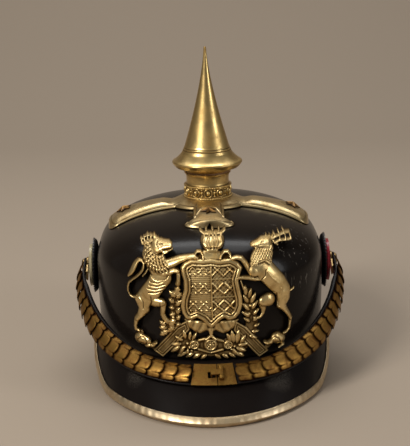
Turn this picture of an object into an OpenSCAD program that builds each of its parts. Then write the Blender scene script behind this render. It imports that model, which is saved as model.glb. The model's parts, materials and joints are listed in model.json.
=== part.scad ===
// A spiked dress helmet of black leather with a cross-shaped spike base,
// a front plate with a lion, a stag and a shield, and chin scales laid on the front visor.
// X runs to the right as seen from the front, the front faces -Y and Z is up.
// The origin is under the middle of the helmet's box, on the surface that it stands on.
// Left and right are as seen from the front.

/* [Skull] */
// Outer width of the leather skull at its widest
skull_w = 174; // [160:1:190]
// Outer length of the leather skull at its widest
skull_l = 214; // [200:1:230]
// Height of the top of the skull above the table
crown_z = 124; // [118:1:130]
// Height of the widest line of the skull
widest_z = 80; // [74:1:86]
// Height of the skull's lower rim
rim_z = 32; // [28:1:36]
// Thickness of the skull's leather
skull_wall = 3; // [2:0.1:4]
// How far the wall draws in from the widest line to the rim
rim_taper = 1.5; // [0:0.1:3]

/* [Visors] */
// How far the front visor's edge lies ahead of the skull
front_reach = 41; // [34:1:48]
// How far the rear visor's edge lies behind the skull
rear_reach = 19; // [14:1:26]
// Width of the front visor between its side ends
front_visor_w = 176; // [170:1:184]
// Width of the rear visor between its side ends
rear_visor_w = 172; // [166:1:180]
// Thickness of the visors' leather
visor_t = 2.4; // [1.8:0.1:3]
// Thickness of the coloured leather under each visor
visor_lining_t = 0.8; // [0.5:0.1:1.2]
// Width of the metal trim on the front visor's upper face
trim_w = 5.5; // [4:0.5:7]
// Thickness of the trim's sheet metal
trim_t = 0.7; // [0.5:0.1:1]

/* [Spike] */
// Height of the spike's tip above the table
tip_z = 244.5; // [225:0.5:260]
// Largest radius of the spike, at its lip
spike_r = 27; // [24:0.5:30]
// Height of the spike's lip above the table
lip_z = 156.6; // [154:0.1:160]
// Radius at the two engraved rings
ring_r = 17.7; // [15:0.1:20]
// Height of the engraved rings above the lip
ring_rise = 10.7; // [8:0.1:14]
// Thickness of the spike's sheet metal
spike_wall = 1.2; // [0.8:0.1:2]
// Radius of the spike's threaded stud
stud_r = 6; // [5:0.1:7]
// Length of the stud below the neck's top
stud_len = 10.5; // [10:0.5:14]

/* [Neck] */
// Outer radius of the decorated band
band_r = 17.9; // [17:0.1:19]
// Height of the decorated band
band_h = 10; // [8:0.5:12]
// Height of the base's collar above the skull
collar_rise = 5.3; // [4:0.1:7]
// Height of the neck above the band
neck_h = 9.2; // [7:0.1:12]
// Radius of the neck's top rim
neck_r = 17.4; // [16:0.1:19]
// Number of oval bosses round the band
boss_count = 11; // [8:1:14]
// Outer radius of the threaded bush in the neck
bush_r = 8.5; // [8:0.1:9.5]

/* [Spike base] */
// Reach of the base's side arms from the spike's axis
side_reach = 78; // [72:1:80]
// Reach of the base's front and rear arms from the spike's axis
front_arm_reach = 67; // [60:1:70]
// Radius of the base's round middle
base_disc_r = 31; // [28:0.5:34]
// Half width of a side arm at its narrowest
side_waist = 14; // [11:0.5:16]
// Half width of a side arm near its end
side_end = 21; // [18:0.5:23]
// Half width of the front and rear arms at their narrowest
front_waist = 11.5; // [9:0.5:14]
// Half width of the front and rear arms near their ends
front_end = 18; // [15:0.5:21]
// Length over which the front and rear arms widen to their ends
front_spread = 10; // [6:0.5:26]
// Thickness of the base's sheet metal
base_t = 1.2; // [0.8:0.1:1.6]
// Height that the base's arms are raised over the skull between their edges
arm_rise = 4; // [0:0.1:5]
// Distance of the side stars from the axis
side_star = 63.5; // [58:0.5:66]
// Distance of the front and rear stars from the axis
front_star = 47; // [42:0.5:52]
// Outer radius of a star
star_r = 6.5; // [5:0.5:8]

/* [Front plate] */
// Height of the plate's lower edge above the table
plate_z = 36; // [35:0.5:40]
// Height of the plate's top above the table
plate_top_z = 118; // [112:0.5:119]
// Thickness of the plate's ground
plate_t = 1.4; // [1:0.1:2]
// Height of the figures above the back of the plate
relief_h = 4; // [3:0.1:5]
// Distance of the plate's two posts from the middle
plate_post_x = 26; // [20:1:32]
// Height of the plate's two posts above the table
plate_post_z = 84; // [80:1:90]
// Radius of the plate's posts
plate_post_r = 1.6; // [1.2:0.1:2]

/* [Chin scales] */
// How far the scales' strap stands out from the skull
strap_standoff = 13.5; // [12:0.5:15]
// Height of the strap's middle line at the front
strap_front_z = 27.2; // [27:0.1:30]
// Width of the leather strap
strap_w = 15.4; // [13:0.2:17]
// Thickness of the leather strap
strap_t = 1.6; // [1.2:0.1:2]
// Extra thickness of the strap's padded back beside the skull
strap_pad = 3; // [1:0.1:3.5]
// Distance from the front middle to the first scale
scales_from = 15; // [14:0.5:18]
// Number of scales on each side
scale_count = 16; // [12:1:18]
// Thickness of a scale
scale_t = 0.6; // [0.4:0.1:0.8]
// Rise of a scale's domed middle
scale_dome = 2.5; // [1.5:0.1:3]
// Height of the side posts above the table
post_z = 75; // [72:0.5:78]
// Radius of the side posts
post_r = 2.5; // [2:0.1:3]

/* [Cockades] */
// Radius of the fluted outer disc
cockade_r = 21.5; // [19:0.5:24]
// Radius of the coloured dish
dish_r = 16.5; // [14:0.5:18]

/* [Vent] */
// Width of the rear spine
spine_w = 12; // [10:0.5:14]
// Thickness of the rear spine
spine_t = 1; // [0.8:0.1:1.4]
// Travel of the vent's slide
vent_travel = 10; // [7:0.5:12]

/* [Liner] */
// Height of the sweatband above the rim
sweatband_h = 35; // [30:1:37]
// Thickness of the sweatband
sweatband_t = 1.4; // [1:0.1:1.8]
// Thickness of the silk lining with its padding
lining_t = 1.2; // [0.8:0.1:2]

/* [Fits] */
// Radial clearance of a running fit
running_gap = 0.05; // [0.03:0.01:0.09]
// Gap between faces that lie on each other
seat_gap = 0.3; // [0.2:0.05:0.4]

/* [Hidden] */

// Colours of the finishes
black_leather = [0.07, 0.06, 0.06];
gilt = [0.80, 0.68, 0.42];
old_brass = [0.66, 0.50, 0.22];
pale_brass = [0.78, 0.70, 0.55];
tan_leather = [0.55, 0.36, 0.20];

// Shape of the skull: powers of its plan at the sides and ends, and of its crown
side_power = 2.0;
front_power = 2.8;
crown_power = 3.1;
// Steps round the skull, and the angles of its rows from the widest line to the crown
around = 56;
rows = [0, 4, 9, 15, 22, 30, 38, 46, 54, 62, 70, 78, 85];
// Rows of the skull below its widest line
wall_rows = 3;
// Part of the front visor's half that lies level before its side rises to the rim
level_part = 0.66;
visor_power = 1.9;
visor_bow = 1;
// Where the visors' sides begin, ahead of and behind the spike's axis
front_root = 30;
rear_root = 34;
edge_z = 1.2;
// Angles on the skull that the visors' seams reach to each side
front_seam = 81;
rear_seam = 79;
visor_cols = 36;
visor_rows = 4;

// The spike's axis lies back from the origin, which is under the middle of the box
trim_out = 0.95;
front_total = skull_l/2 + front_reach + trim_out;
rear_total = skull_l/2 + rear_reach + visor_t;
axis_y = (front_total - rear_total)/2;

collar_z = crown_z + collar_rise;
band_top = collar_z + band_h;
neck_top = band_top + neck_h;
washer_t = 0.9;
washer_gap = 0.05;
spike_seat = neck_top + washer_t + 2*washer_gap;
bush_low = crown_z - skull_wall - 8;
nut_t = 4;

// Front plate: how far its back lies off the skull, at the foot and at the top
plate_gap = 1.2;
plate_lean = 3;

// The chin strap's path
chin_power = 2.03;
chin_rise = 1.2;
front_tilt = 53;
post_inset = 3;
strap_x = skull_w/2 + strap_standoff;
strap_y = skull_l/2 + strap_standoff + 0.5;
end_plate_t = 1;

// Depths of the pieces stacked on a side post, measured out from the skull
cockade_x = skull_w/2 + 0.4;
loop_t = 1.1;
end_x = strap_x - post_inset;
loop_x = end_x - strap_t/2 - seat_gap - loop_t;
head_x = end_x + strap_t/2 + seat_gap;

// A power that keeps the sign of its base
function power(v, p) = sign(v)*pow(abs(v), p);
function unit(v) = v/norm(v);
function mix(a, b, k) = a*(1 - k) + b*k;
function smooth(k) = let (c = min(1, max(0, k))) c*c*(3 - 2*c);

// Plan of the skull at angle a from the front, at a level from 0 at the crown to 1 at the
// widest line, moved out by d
function plan(a, level, d) = [
    (skull_w/2 + d)*power(sin(a), 2/side_power)*pow(level, 1/side_power),
    -(skull_l/2 + d)*power(cos(a), 2/front_power)*pow(level, 1/front_power)];

// A point on the dome at angle a and row angle t, and one on the wall at height z
function dome_pt(a, t, d) = let (p = plan(a, pow(cos(t), 2), d))
    [p.x, p.y, widest_z + (crown_z + d - widest_z)*pow(sin(t), 2/crown_power)];
function taper(z) = rim_taper*pow(max(0, widest_z - z)/(widest_z - rim_z), 2);
function wall_pt(a, z, d) = let (p = plan(a, 1, d - taper(z))) [p.x, p.y, z];

// Height of the dome over a place in plan, moved out by d
function dome_z(x, y, d) = widest_z + (crown_z + d - widest_z)*pow(max(0.0001,
    1 - pow(abs(x)/(skull_w/2 + d), side_power)
      - pow(abs(y)/(skull_l/2 + d), front_power)), 1/crown_power);

// The outward normal of the dome over a place in plan
function dome_normal(x, y) = let (e = 0.5)
    unit([dome_z(x - e, y, 0) - dome_z(x + e, y, 0),
          dome_z(x, y - e, 0) - dome_z(x, y + e, 0), 2*e]);

// Rings of points on the skull moved out by d, from height z up to the last row angle
function wall_rings(d, z) = [for (i = [0:wall_rows - 1])
    [for (j = [0:around - 1])
        wall_pt(360*j/around, mix(z, widest_z, i/wall_rows), d)]];
function dome_rings(d, first) = [for (i = [first:len(rows) - 1])
    [for (j = [0:around - 1]) dome_pt(360*j/around, rows[i], d)]];

function flat(lists) = [for (l = lists) each l];
function quad(a, b, c, d) = [[a, b, c], [a, c, d]];

// Outward normals of a grid whose rows run up and whose columns run to the right
function grid_normal(g, i, j) = let (
    r = len(g) - 1, c = len(g[0]) - 1,
    up = g[min(r, i + 1)][j] - g[max(0, i - 1)][j],
    right = g[i][min(c, j + 1)] - g[i][max(0, j - 1)]) unit(cross(right, up));
function offset_grid(g, d) = [for (i = [0:len(g) - 1])
    [for (j = [0:len(g[0]) - 1]) g[i][j] + d*grid_normal(g, i, j)]];

// A closed sheet between an outer and an inner grid
module sheet(outer, inner) {
    r = len(outer);
    c = len(outer[0]);
    k = r*c;
    faces = concat(
        [for (i = [0:r - 2], j = [0:c - 2])
            each quad(i*c + j, (i + 1)*c + j, (i + 1)*c + j + 1, i*c + j + 1)],
        [for (i = [0:r - 2], j = [0:c - 2])
            each quad(k + i*c + j, k + i*c + j + 1, k + (i + 1)*c + j + 1, k + (i + 1)*c + j)],
        [for (i = [0:r - 2])
            each quad((i + 1)*c, i*c, k + i*c, k + (i + 1)*c)],
        [for (i = [0:r - 2])
            each quad(i*c + c - 1, (i + 1)*c + c - 1, k + (i + 1)*c + c - 1, k + i*c + c - 1)],
        [for (j = [0:c - 2]) each quad(j, j + 1, k + j + 1, k + j)],
        [for (j = [0:c - 2])
            each quad((r - 1)*c + j + 1, (r - 1)*c + j, k + (r - 1)*c + j, k + (r - 1)*c + j + 1)]);
    polyhedron(concat(flat(outer), flat(inner)), faces);
}

// A closed band between outer and inner rings, capped at the top where apexes are given
module band(outer, inner, apex = []) {
    r = len(outer);
    c = len(outer[0]);
    k = r*c;
    top = (r - 1)*c;
    faces = concat(
        [for (i = [0:r - 2], j = [0:c - 1]) let (n = (j + 1)%c)
            each quad(i*c + j, (i + 1)*c + j, (i + 1)*c + n, i*c + n)],
        [for (i = [0:r - 2], j = [0:c - 1]) let (n = (j + 1)%c)
            each quad(k + i*c + j, k + i*c + n, k + (i + 1)*c + n, k + (i + 1)*c + j)],
        [for (j = [0:c - 1]) let (n = (j + 1)%c) each quad(j, n, k + n, k + j)],
        len(apex) == 0
            ? [for (j = [0:c - 1]) let (n = (j + 1)%c)
                each quad(top + n, top + j, k + top + j, k + top + n)]
            : [for (j = [0:c - 1]) let (n = (j + 1)%c)
                each [[top + j, 2*k, top + n], [k + top + n, 2*k + 1, k + top + j]]]);
    polyhedron(concat(flat(outer), flat(inner), apex), faces);
}

// A closed bar whose sections are loops of points, with the triangles of its end caps
module bar(loops, caps) {
    r = len(loops);
    c = len(loops[0]);
    faces = concat(
        [for (i = [0:r - 2], j = [0:c - 1]) let (n = (j + 1)%c)
            each quad(i*c + j, (i + 1)*c + j, (i + 1)*c + n, i*c + n)],
        [for (t = caps) [t[0], t[1], t[2]]],
        [for (t = caps) [(r - 1)*c + t[0], (r - 1)*c + t[2], (r - 1)*c + t[1]]]);
    polyhedron(flat(loops), faces);
}

// Puts the helmet's own axis in its place over the origin
module placed() {
    translate([0, axis_y, 0]) children();
}

// Turns +Z to a direction
module aim(dir) {
    rotate([0, acos(dir.z), atan2(dir.y, dir.x)]) children();
}

// Stands +Z on the skull over a place in plan, with its origin on the skull's face
module on_skull(x, y) {
    translate([x, y, dome_z(x, y, 0)]) aim(dome_normal(x, y)) children();
}

// Places +Z along +X on the right side post, or mirrored on the left one
module at_post(side) {
    mirror([side < 0 ? 1 : 0, 0, 0]) translate([0, 0, post_z]) rotate([0, 90, 0]) children();
}

// The part of a shape above the table
module on_table() {
    difference() {
        children();
        translate([-skull_l, -skull_l, -20]) cube([2*skull_l, 2*skull_l, 20]);
    }
}

// Skull: one moulded leather shell, open below, with holes for what is fastened to it
star_places = [[side_star, 0], [-side_star, 0], [0, -front_star], [0, front_star]];
star_shank_r = 1.5;
vent_w = 9;
vent_z = widest_z - 6;

module skull() {
    color(black_leather) placed() difference() {
        band(concat(wall_rings(0, rim_z), dome_rings(0, 0)),
            concat(wall_rings(-skull_wall, rim_z), dome_rings(-skull_wall, 0)),
            [[0, 0, crown_z], [0, 0, crown_z - skull_wall]]);
        translate([0, 0, bush_low]) cylinder(r = bush_r + running_gap, h = 30, $fn = 64);
        for (p = star_places) on_skull(p.x, p.y) translate([0, 0, -12])
            cylinder(r = star_shank_r + running_gap, h = 20, $fn = 32);
        for (s = [-1, 1]) at_post(s) translate([0, 0, skull_w/2 - 12])
            cylinder(r = post_r + running_gap, h = 20, $fn = 32);
        for (s = [-1, 1]) plate_axis(s) translate([0, 0, -5])
            cylinder(r = plate_post_r + running_gap, h = 25, $fn = 32);
        for (z = rivet_heights) rivet_axis(z) translate([0, 0, -8])
            cylinder(r = rivet_r + running_gap, h = 16, $fn = 32);
        translate([-vent_w/2, skull_l/2 - 2*skull_wall, vent_z - vent_travel - 15])
            cube([vent_w, 4*skull_wall, vent_travel + 17]);
    }
}

// Front visor: its lower face runs from the rim's seam down and out to the edge
function visor_edge(u) = let (a = 90*u, lift = max(0, (abs(u) - level_part)/(1 - level_part))) [
    front_visor_w/2*power(sin(a), 2/visor_power),
    -front_root - (skull_l/2 + front_reach - front_root)*pow(abs(cos(a)), 2/visor_power),
    mix(edge_z, rim_z - 1, pow(lift, 1.6))];
function visor_seam(u) = wall_pt(front_seam*u, rim_z, seat_gap) - [0, 0, seat_gap];
function visor_face() = [for (i = [0:visor_rows - 1]) let (v = i/(visor_rows - 1))
    [for (j = [0:visor_cols]) let (u = 2*j/visor_cols - 1)
        mix(visor_edge(u), visor_seam(u), v) + [0, 0, visor_bow*4*v*(1 - v)*(1 - pow(abs(u), 6))]]];

module front_visor() {
    g = visor_face();
    color(black_leather) placed() sheet(offset_grid(g, visor_t), g);
}

module front_visor_lining() {
    g = visor_face();
    color([0.20, 0.30, 0.16]) placed() on_table()
        sheet(offset_grid(g, -0.1), offset_grid(g, -0.1 - visor_lining_t));
}

// Rear visor: the neck guard, with its lower edge on the table
function guard_edge(u) = let (a = 90*u, lift = max(0, (abs(u) - 0.5)/0.5)) [
    -rear_visor_w/2*power(sin(a), 2/visor_power),
    rear_root + (skull_l/2 + rear_reach - rear_root)*pow(abs(cos(a)), 2/visor_power),
    mix(-0.4, rim_z - 1, pow(lift, 1.6))];
function guard_seam(u) = wall_pt(180 + rear_seam*u, rim_z, seat_gap) - [0, 0, seat_gap];
function guard_face() = [for (i = [0:visor_rows - 1]) let (v = i/(visor_rows - 1))
    [for (j = [0:visor_cols]) let (u = 2*j/visor_cols - 1)
        mix(guard_edge(u), guard_seam(u), v) + [0, 1.5*4*v*(1 - v)*(1 - pow(abs(u), 6)), 0]]];

module rear_visor() {
    g = guard_face();
    color(black_leather) placed() on_table() sheet(offset_grid(g, visor_t), g);
}

module rear_visor_lining() {
    g = guard_face();
    color([0.45, 0.10, 0.09]) placed() on_table()
        sheet(offset_grid(g, -0.1), offset_grid(g, -0.1 - visor_lining_t));
}

// Trim: a folded metal strip over the front visor's edge, flat where it meets the table
trim_from = 1;
function trim_section(g, j) = let (
    p = g[0][j],
    n = grid_normal(g, 0, j),
    e = unit(g[1][j] - p - n*((g[1][j] - p)*n)),
    out = -seat_gap/2 - trim_t,
    low = -0.25 - visor_lining_t + out,
    high = visor_t - out,
    reach = trim_w*(j == trim_from || j == visor_cols - trim_from ? 0.15 : 1))
    [for (q = [[reach, low], [out, low], [out, high], [reach, high],
               [reach, high - trim_t], [out + trim_t, high - trim_t],
               [out + trim_t, low + trim_t], [reach, low + trim_t]]) p + e*q[0] + n*q[1]];

module visor_trim() {
    g = visor_face();
    color(pale_brass) placed() on_table()
        bar([for (j = [trim_from:visor_cols - trim_from]) trim_section(g, j)],
            [[0, 1, 6], [0, 6, 7], [1, 2, 5], [1, 5, 6], [2, 3, 4], [2, 4, 5]]);
}

// Rear spine: a metal strip from the base's rear arm down the back to the guard's edge
spine_d = seat_gap;
rivet_r = 1.2;
rivet_heights = [rim_z + 10, widest_z - 1.5];
spine_top = acos(pow((front_arm_reach + 1)/(skull_l/2 + spine_d), front_power/2));
function spine_row(k, x) = let (a = 180 - asin(x/(skull_w/2)), g = guard_face())
    k < 4 ? let (v = [0.06, 0.35, 0.65, 0.9][k], y = guard_mid(v))
        [x, y.y + visor_t + spine_d + (k == 3 ? 0.4 : 0), y.z + (k == 3 ? 2 : 0.4)]
    : k < 9 ? let (z = mix(rim_z + 6, widest_z, (k - 4)/5), w = wall_pt(a, z, spine_d))
        [x, w.y + (k == 4 ? 0.3 : 0), z]
    : let (t = spine_top*(k - 9)/8, d = dome_pt(a, t, spine_d),
           level = max(0, pow(cos(t), 2) - pow(abs(x)/(skull_w/2 + spine_d), side_power)))
        [x, (skull_l/2 + spine_d)*pow(level, 1/front_power), d.z];
function guard_mid(v) = mix(guard_edge(0), guard_seam(0), v) + [0, 1.5*4*v*(1 - v), 0];
spine_grid = [for (k = [0:17]) [for (x = [spine_w/2, 0, -spine_w/2]) spine_row(k, x)]];

// Places +Z along +Y on the back of the skull at height z
module rivet_axis(z) {
    translate([0, skull_l/2 - taper(z) + spine_d + spine_t, z]) rotate([-90, 0, 0]) children();
}

slot_w = 4;
shank_h = 6;
module rear_spine() {
    color(gilt) placed() difference() {
        sheet(offset_grid(spine_grid, spine_t), spine_grid);
        for (z = rivet_heights) rivet_axis(z) translate([0, 0, -8])
            cylinder(r = rivet_r + running_gap, h = 16, $fn = 32);
        translate([-slot_w/2, skull_l/2 - 5, vent_z - 3 - shank_h - vent_travel - 0.2])
            cube([slot_w, 10, vent_travel + shank_h + 0.4]);
    }
}

// The lower rivet ends flush in the wall, behind the sweatband, and the upper one is headed
module spine_rivets() {
    through = spine_t + spine_d + skull_wall;
    color(gilt) placed() for (z = rivet_heights) rivet_axis(z) {
        headed = z > rim_z + sweatband_h;
        tail = through + (headed ? 0.6 : -0.2);
        translate([0, 0, 0.25]) cylinder(r1 = 2*rivet_r, r2 = rivet_r, h = 1.1, $fn = 32);
        translate([0, 0, -tail]) cylinder(r = rivet_r, h = tail + 0.75, $fn = 32);
        if (headed) translate([0, 0, -tail - 0.6]) cylinder(r = 2*rivet_r, h = 0.7, $fn = 32);
    }
}

// Vent slider: a knob plate outside the spine, a shank in its slot and a flange behind it
module vent_slider() {
    face = skull_l/2 + spine_d;
    flange_gap = 0.9;
    color(gilt) placed() {
        translate([-4.5, face + spine_t + 0.25, vent_z - 14]) cube([9, 1, 13]);
        translate([-3, face + spine_t + 1.2, vent_z - 9]) cube([6, 1.4, 3]);
        translate([-slot_w/2 + 0.2, face - flange_gap - 1, vent_z - 3 - shank_h])
            cube([slot_w - 0.4, spine_t + flange_gap + 1.3, shank_h]);
        translate([-3.6, face - flange_gap - 1.6, vent_z - 12]) cube([7.2, 1.6, 10]);
    }
}

// Spike base: a sheet-metal cross on the crown with a round collar in its middle
arm_end_l = 8;
arm_waist_power = 1.5;
arm_end_power = 2.4;
// Sizes of an arm: its reach, half widths at the waist and near the end, and the length
// over which it widens
side_arm = [side_reach, side_waist, side_end, side_reach - arm_end_l - base_disc_r];
front_arm = [front_arm_reach, front_waist, front_end, front_spread];

// Half width of an arm at a distance u from the axis
function arm_half(u, arm) = let (
    wide = arm[0] - arm_end_l,
    k = min(1, max(0, (u - wide + arm[3])/arm[3])),
    tip = min(1, max(0, (u - wide)/arm_end_l)))
    mix(arm[1], arm[2], pow(k, arm_waist_power))
        *(tip > 0 ? pow(max(0, 1 - pow(tip, arm_end_power)), 1/arm_end_power) : 1);
side_steps = 14;
end_steps = 7;
function arm_outline(arm) = let (us = concat(
    [for (i = [0:side_steps]) (arm[0] - arm_end_l)*i/side_steps],
    [for (i = [1:end_steps]) arm[0] - arm_end_l*(1 - sin(90*i/end_steps))]))
    concat([for (u = us) [u, arm_half(u, arm)]],
        [for (i = [len(us) - 2:-1:0]) [us[i], -arm_half(us[i], arm)]]);

middle_r = base_disc_r - 2;
function turned(p, a) = [p.x*cos(a) - p.y*sin(a), p.x*sin(a) + p.y*cos(a)];
// One arm's edge outside the round middle, and the arc that leads on to the next arm
arc_steps = 5;
function arm_and_arc(turn, arm, next_arm) = concat(
    [for (p = arm_outline(arm)) if (norm(p) > middle_r + 0.5) turned([p.x, -p.y], turn)],
    [for (i = [0:arc_steps]) let (
        from = asin(arm[1]/middle_r),
        to = 90 - asin(next_arm[1]/middle_r),
        a = turn + mix(from, to, i/arc_steps)) middle_r*[cos(a), sin(a)]]);
module cross_outline() {
    polygon([for (k = [0:3]) each k%2 == 0
        ? arm_and_arc(90*k, side_arm, front_arm) : arm_and_arc(90*k, front_arm, side_arm)]);
}

// Lift of an arm over a place in plan: level across most of it, and none at its flat rim
arm_rim_w = 1.5;
lift_from = band_r + 3;
lift_full = base_disc_r + 6;
function arm_lift(x, y) = let (
    along = max(abs(x), abs(y)),
    half = arm_half(along, abs(x) > abs(y) ? side_arm : front_arm),
    s = min(1, min(abs(x), abs(y))/max(0.1, half - arm_rim_w)))
    arm_rise*(1 - pow(s, 4))*smooth((along - lift_from)/(lift_full - lift_from));

// Height of a face of the base over a place in plan, rising to a level collar
function base_face(x, y, d) = let (r = norm([x, y]), flat_r = band_r + 0.8)
    mix(collar_z + d - base_t, dome_z(x, y, seat_gap + d),
        smooth((r - flat_r)/(base_disc_r - flat_r))) + arm_lift(x, y);
base_around = 80;
base_radii = concat([for (r = [side_reach + 2:-6:base_disc_r + 3]) r],
    [base_disc_r, band_r + 10, band_r + 7.5, band_r + 5.2, band_r + 3, band_r + 0.8, bush_r - 1]);
function base_rings(d) = [for (r = base_radii) [for (j = [0:base_around - 1])
    let (x = r*sin(360*j/base_around), y = -r*cos(360*j/base_around)) [x, y, base_face(x, y, d)]]];

module spike_base() {
    color(gilt) placed() difference() {
        intersection() {
            band(base_rings(base_t), base_rings(0));
            translate([0, 0, widest_z]) linear_extrude(height = 60) cross_outline();
        }
        cylinder(r = bush_r + running_gap, h = 2*crown_z, $fn = 64);
        for (p = star_places) on_skull(p.x, p.y) translate([0, 0, -6])
            cylinder(r = star_shank_r + running_gap, h = 14, $fn = 32);
    }
}

// Star studs: five-pointed heads on threaded shanks, with nuts inside the skull
module star_outline(r) {
    polygon([for (i = [0:9]) (i%2 == 0 ? r : 0.5*r)*[sin(36*i), cos(36*i)]]);
}

star_h = 3.2;
star_plate_h = 0.4*star_h;
shank_in = skull_wall + 5;
function star_seat(p) = seat_gap + base_t + 0.25 + arm_lift(p.x, p.y)*dome_normal(p.x, p.y).z;

module star_studs() {
    color(gilt) placed() for (p = star_places) let (seat = star_seat(p)) on_skull(p.x, p.y) {
        translate([0, 0, seat]) linear_extrude(height = star_plate_h) star_outline(star_r);
        translate([0, 0, seat + star_plate_h])
            cylinder(r1 = 0.45*star_r, r2 = 0.15*star_r, h = star_h - star_plate_h, $fn = 32);
        translate([0, 0, -shank_in]) cylinder(r = star_shank_r, h = seat + shank_in + 0.1, $fn = 32);
    }
}

module hex_nut(across, bore, h) {
    difference() {
        cylinder(r = across/2/cos(30), h = h, $fn = 6);
        translate([0, 0, -1]) cylinder(r = bore, h = h + 2, $fn = 32);
    }
}

module star_nuts() {
    color(old_brass) placed() for (p = star_places) on_skull(p.x, p.y)
        translate([0, 0, -skull_wall - 0.6 - 2.4]) hex_nut(6.5, star_shank_r + running_gap, 2.4);
}

// Neck band: a ring with a bead along each edge and oval bosses round it
module neck_band() {
    color(gilt) placed() {
        translate([0, 0, collar_z + 0.02]) rotate_extrude($fn = 96) polygon([
            [band_r - 2.6, 0], [band_r + 0.5, 0], [band_r + 0.7, 0.7], [band_r + 0.4, 1.4],
            [band_r - 0.8, 1.6], [band_r - 0.8, band_h - 1.5], [band_r, band_h - 1.2],
            [band_r + 0.2, band_h - 0.7], [band_r, band_h - 0.1], [band_r - 2.6, band_h - 0.1]]);
        for (i = [0:boss_count - 1]) rotate(360*i/boss_count - 90)
            translate([band_r - 1.6, 0, collar_z + band_h/2]) rotate([0, 90, 0]) {
                cylinder(r = 3.3, h = 1.8, $fn = 32);
                translate([0, 0, 1.7]) cylinder(r1 = 2, r2 = 1, h = 1.2, $fn = 32);
            }
    }
}

// Neck: a drawn tube that stands in the band and flares to its top rim
module spike_neck() {
    root = band_r - 2.7;
    waist = neck_r - 1.2;
    bore = bush_r + running_gap;
    color(gilt) placed() translate([0, 0, collar_z]) rotate_extrude($fn = 96) polygon([
        [bore, 0], [root, 0], [root, band_h], [waist + 0.5, band_h],
        [waist, band_h + 0.35*neck_h], [waist + 0.3, band_h + 0.65*neck_h],
        [neck_r, band_h + neck_h - 1], [neck_r, band_h + neck_h],
        [bore, band_h + neck_h], [bore, band_h + neck_h - 1.4],
        [waist - 1.2, band_h + neck_h - 1.8], [root - 1.3, band_h], [root - 1.3, 1.4], [bore, 1.4]]);
}

// Bush: the threaded tube that the spike's stud screws into, held under the crown by a nut
module neck_bush() {
    color(old_brass) placed() difference() {
        translate([0, 0, bush_low]) cylinder(r = bush_r, h = neck_top - bush_low, $fn = 64);
        translate([0, 0, bush_low - 1])
            cylinder(r = stud_r + running_gap, h = neck_top - bush_low + 2, $fn = 64);
    }
}

washer_top = crown_z - skull_wall - 1.2;
module crown_washer() {
    color(tan_leather) placed() translate([0, 0, washer_top - 2.4]) difference() {
        cylinder(r = 2.3*bush_r, h = 2.4, $fn = 64);
        translate([0, 0, -1]) cylinder(r = bush_r + running_gap, h = 5, $fn = 64);
    }
}

module crown_nut() {
    color(old_brass) placed() translate([0, 0, washer_top - 2.45 - nut_t])
        hex_nut(2.7*bush_r, bush_r + running_gap, nut_t);
}

// Spike: hollow, with a flared lip, two engraved rings and a stud below
module spike_washer() {
    color(tan_leather) placed() translate([0, 0, neck_top + washer_gap]) difference() {
        cylinder(r = neck_r - 0.6, h = washer_t, $fn = 96);
        translate([0, 0, -1]) cylinder(r = stud_r + running_gap, h = washer_t + 2, $fn = 64);
    }
}

tip_r = 1;
ring_z = lip_z + ring_rise;
function spike_radius(z) = tip_r + (ring_r - tip_r)*pow(1 - (z - ring_z)/(tip_z - tip_r - ring_z), 1.42);
// The engraved rings' grooves
groove = 0.35;
groove_step = 1.6;

module spike() {
    steps = 16;
    top = tip_z - tip_r;
    cone = [for (i = [0:steps]) let (z = mix(ring_z, top, i/steps)) [spike_radius(z), z]];
    low_z = lip_z - 4.3;
    wall_top = mix(ring_z, top, 0.7);
    inner = [for (i = [0:8]) let (z = mix(ring_z, wall_top, i/8)) [spike_radius(z) - spike_wall, z]];
    color(gilt) placed() {
        difference() {
            rotate_extrude($fn = 96) polygon(concat(
                [[0, spike_seat], [neck_r - 0.2, spike_seat], [spike_r - 5, low_z + 0.4],
                 [spike_r - 4, low_z], [spike_r - 3.2, low_z + 0.3], [spike_r - 1.6, lip_z - 3],
                 [spike_r - 0.4, lip_z - 1.4], [spike_r, lip_z], [spike_r - 0.5, lip_z + 0.7],
                 [ring_r + 0.6*(spike_r - ring_r), lip_z + 0.36*ring_rise],
                 [ring_r + 0.25*(spike_r - ring_r), lip_z + 0.68*ring_rise]],
                cone, [[0.7*tip_r, tip_z - 0.3*tip_r], [0, tip_z]]));
            rotate_extrude($fn = 64) polygon(concat(
                [[0, spike_seat + 2], [neck_r - 3, spike_seat + 2], [spike_r - 6, lip_z - 1.5],
                 [spike_r - 3.4, lip_z], [ring_r + 0.2*(spike_r - ring_r), lip_z + 0.55*ring_rise]],
                inner, [[0, wall_top]]));
            for (k = [0, 1]) let (z = ring_z - k*groove_step, r = ring_r + k*0.9)
                translate([0, 0, z]) rotate_extrude($fn = 96)
                    polygon([[r - groove, 0], [r + 2, -groove], [r + 2, groove]]);
        }
        translate([0, 0, neck_top - stud_len])
            cylinder(r = stud_r, h = spike_seat - neck_top + stud_len + 0.5, $fn = 64);
    }
}

// Front plate: the outline of its figures, draped over the front of the skull
function plate_off(z) = plate_gap + plate_lean*pow(max(0, (z - widest_z)/(plate_top_z - widest_z)), 2);
function plate_pt(x, z, h) = let (d = plate_off(z) + h - taper(z),
    up = max(0, (z - widest_z)/(crown_z + d - widest_z)),
    level = max(0.02, 1 - pow(up, crown_power) - pow(abs(x)/(skull_w/2 + d), side_power)))
    [x, -(skull_l/2 + d)*pow(level, 1/front_power), z];
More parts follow.
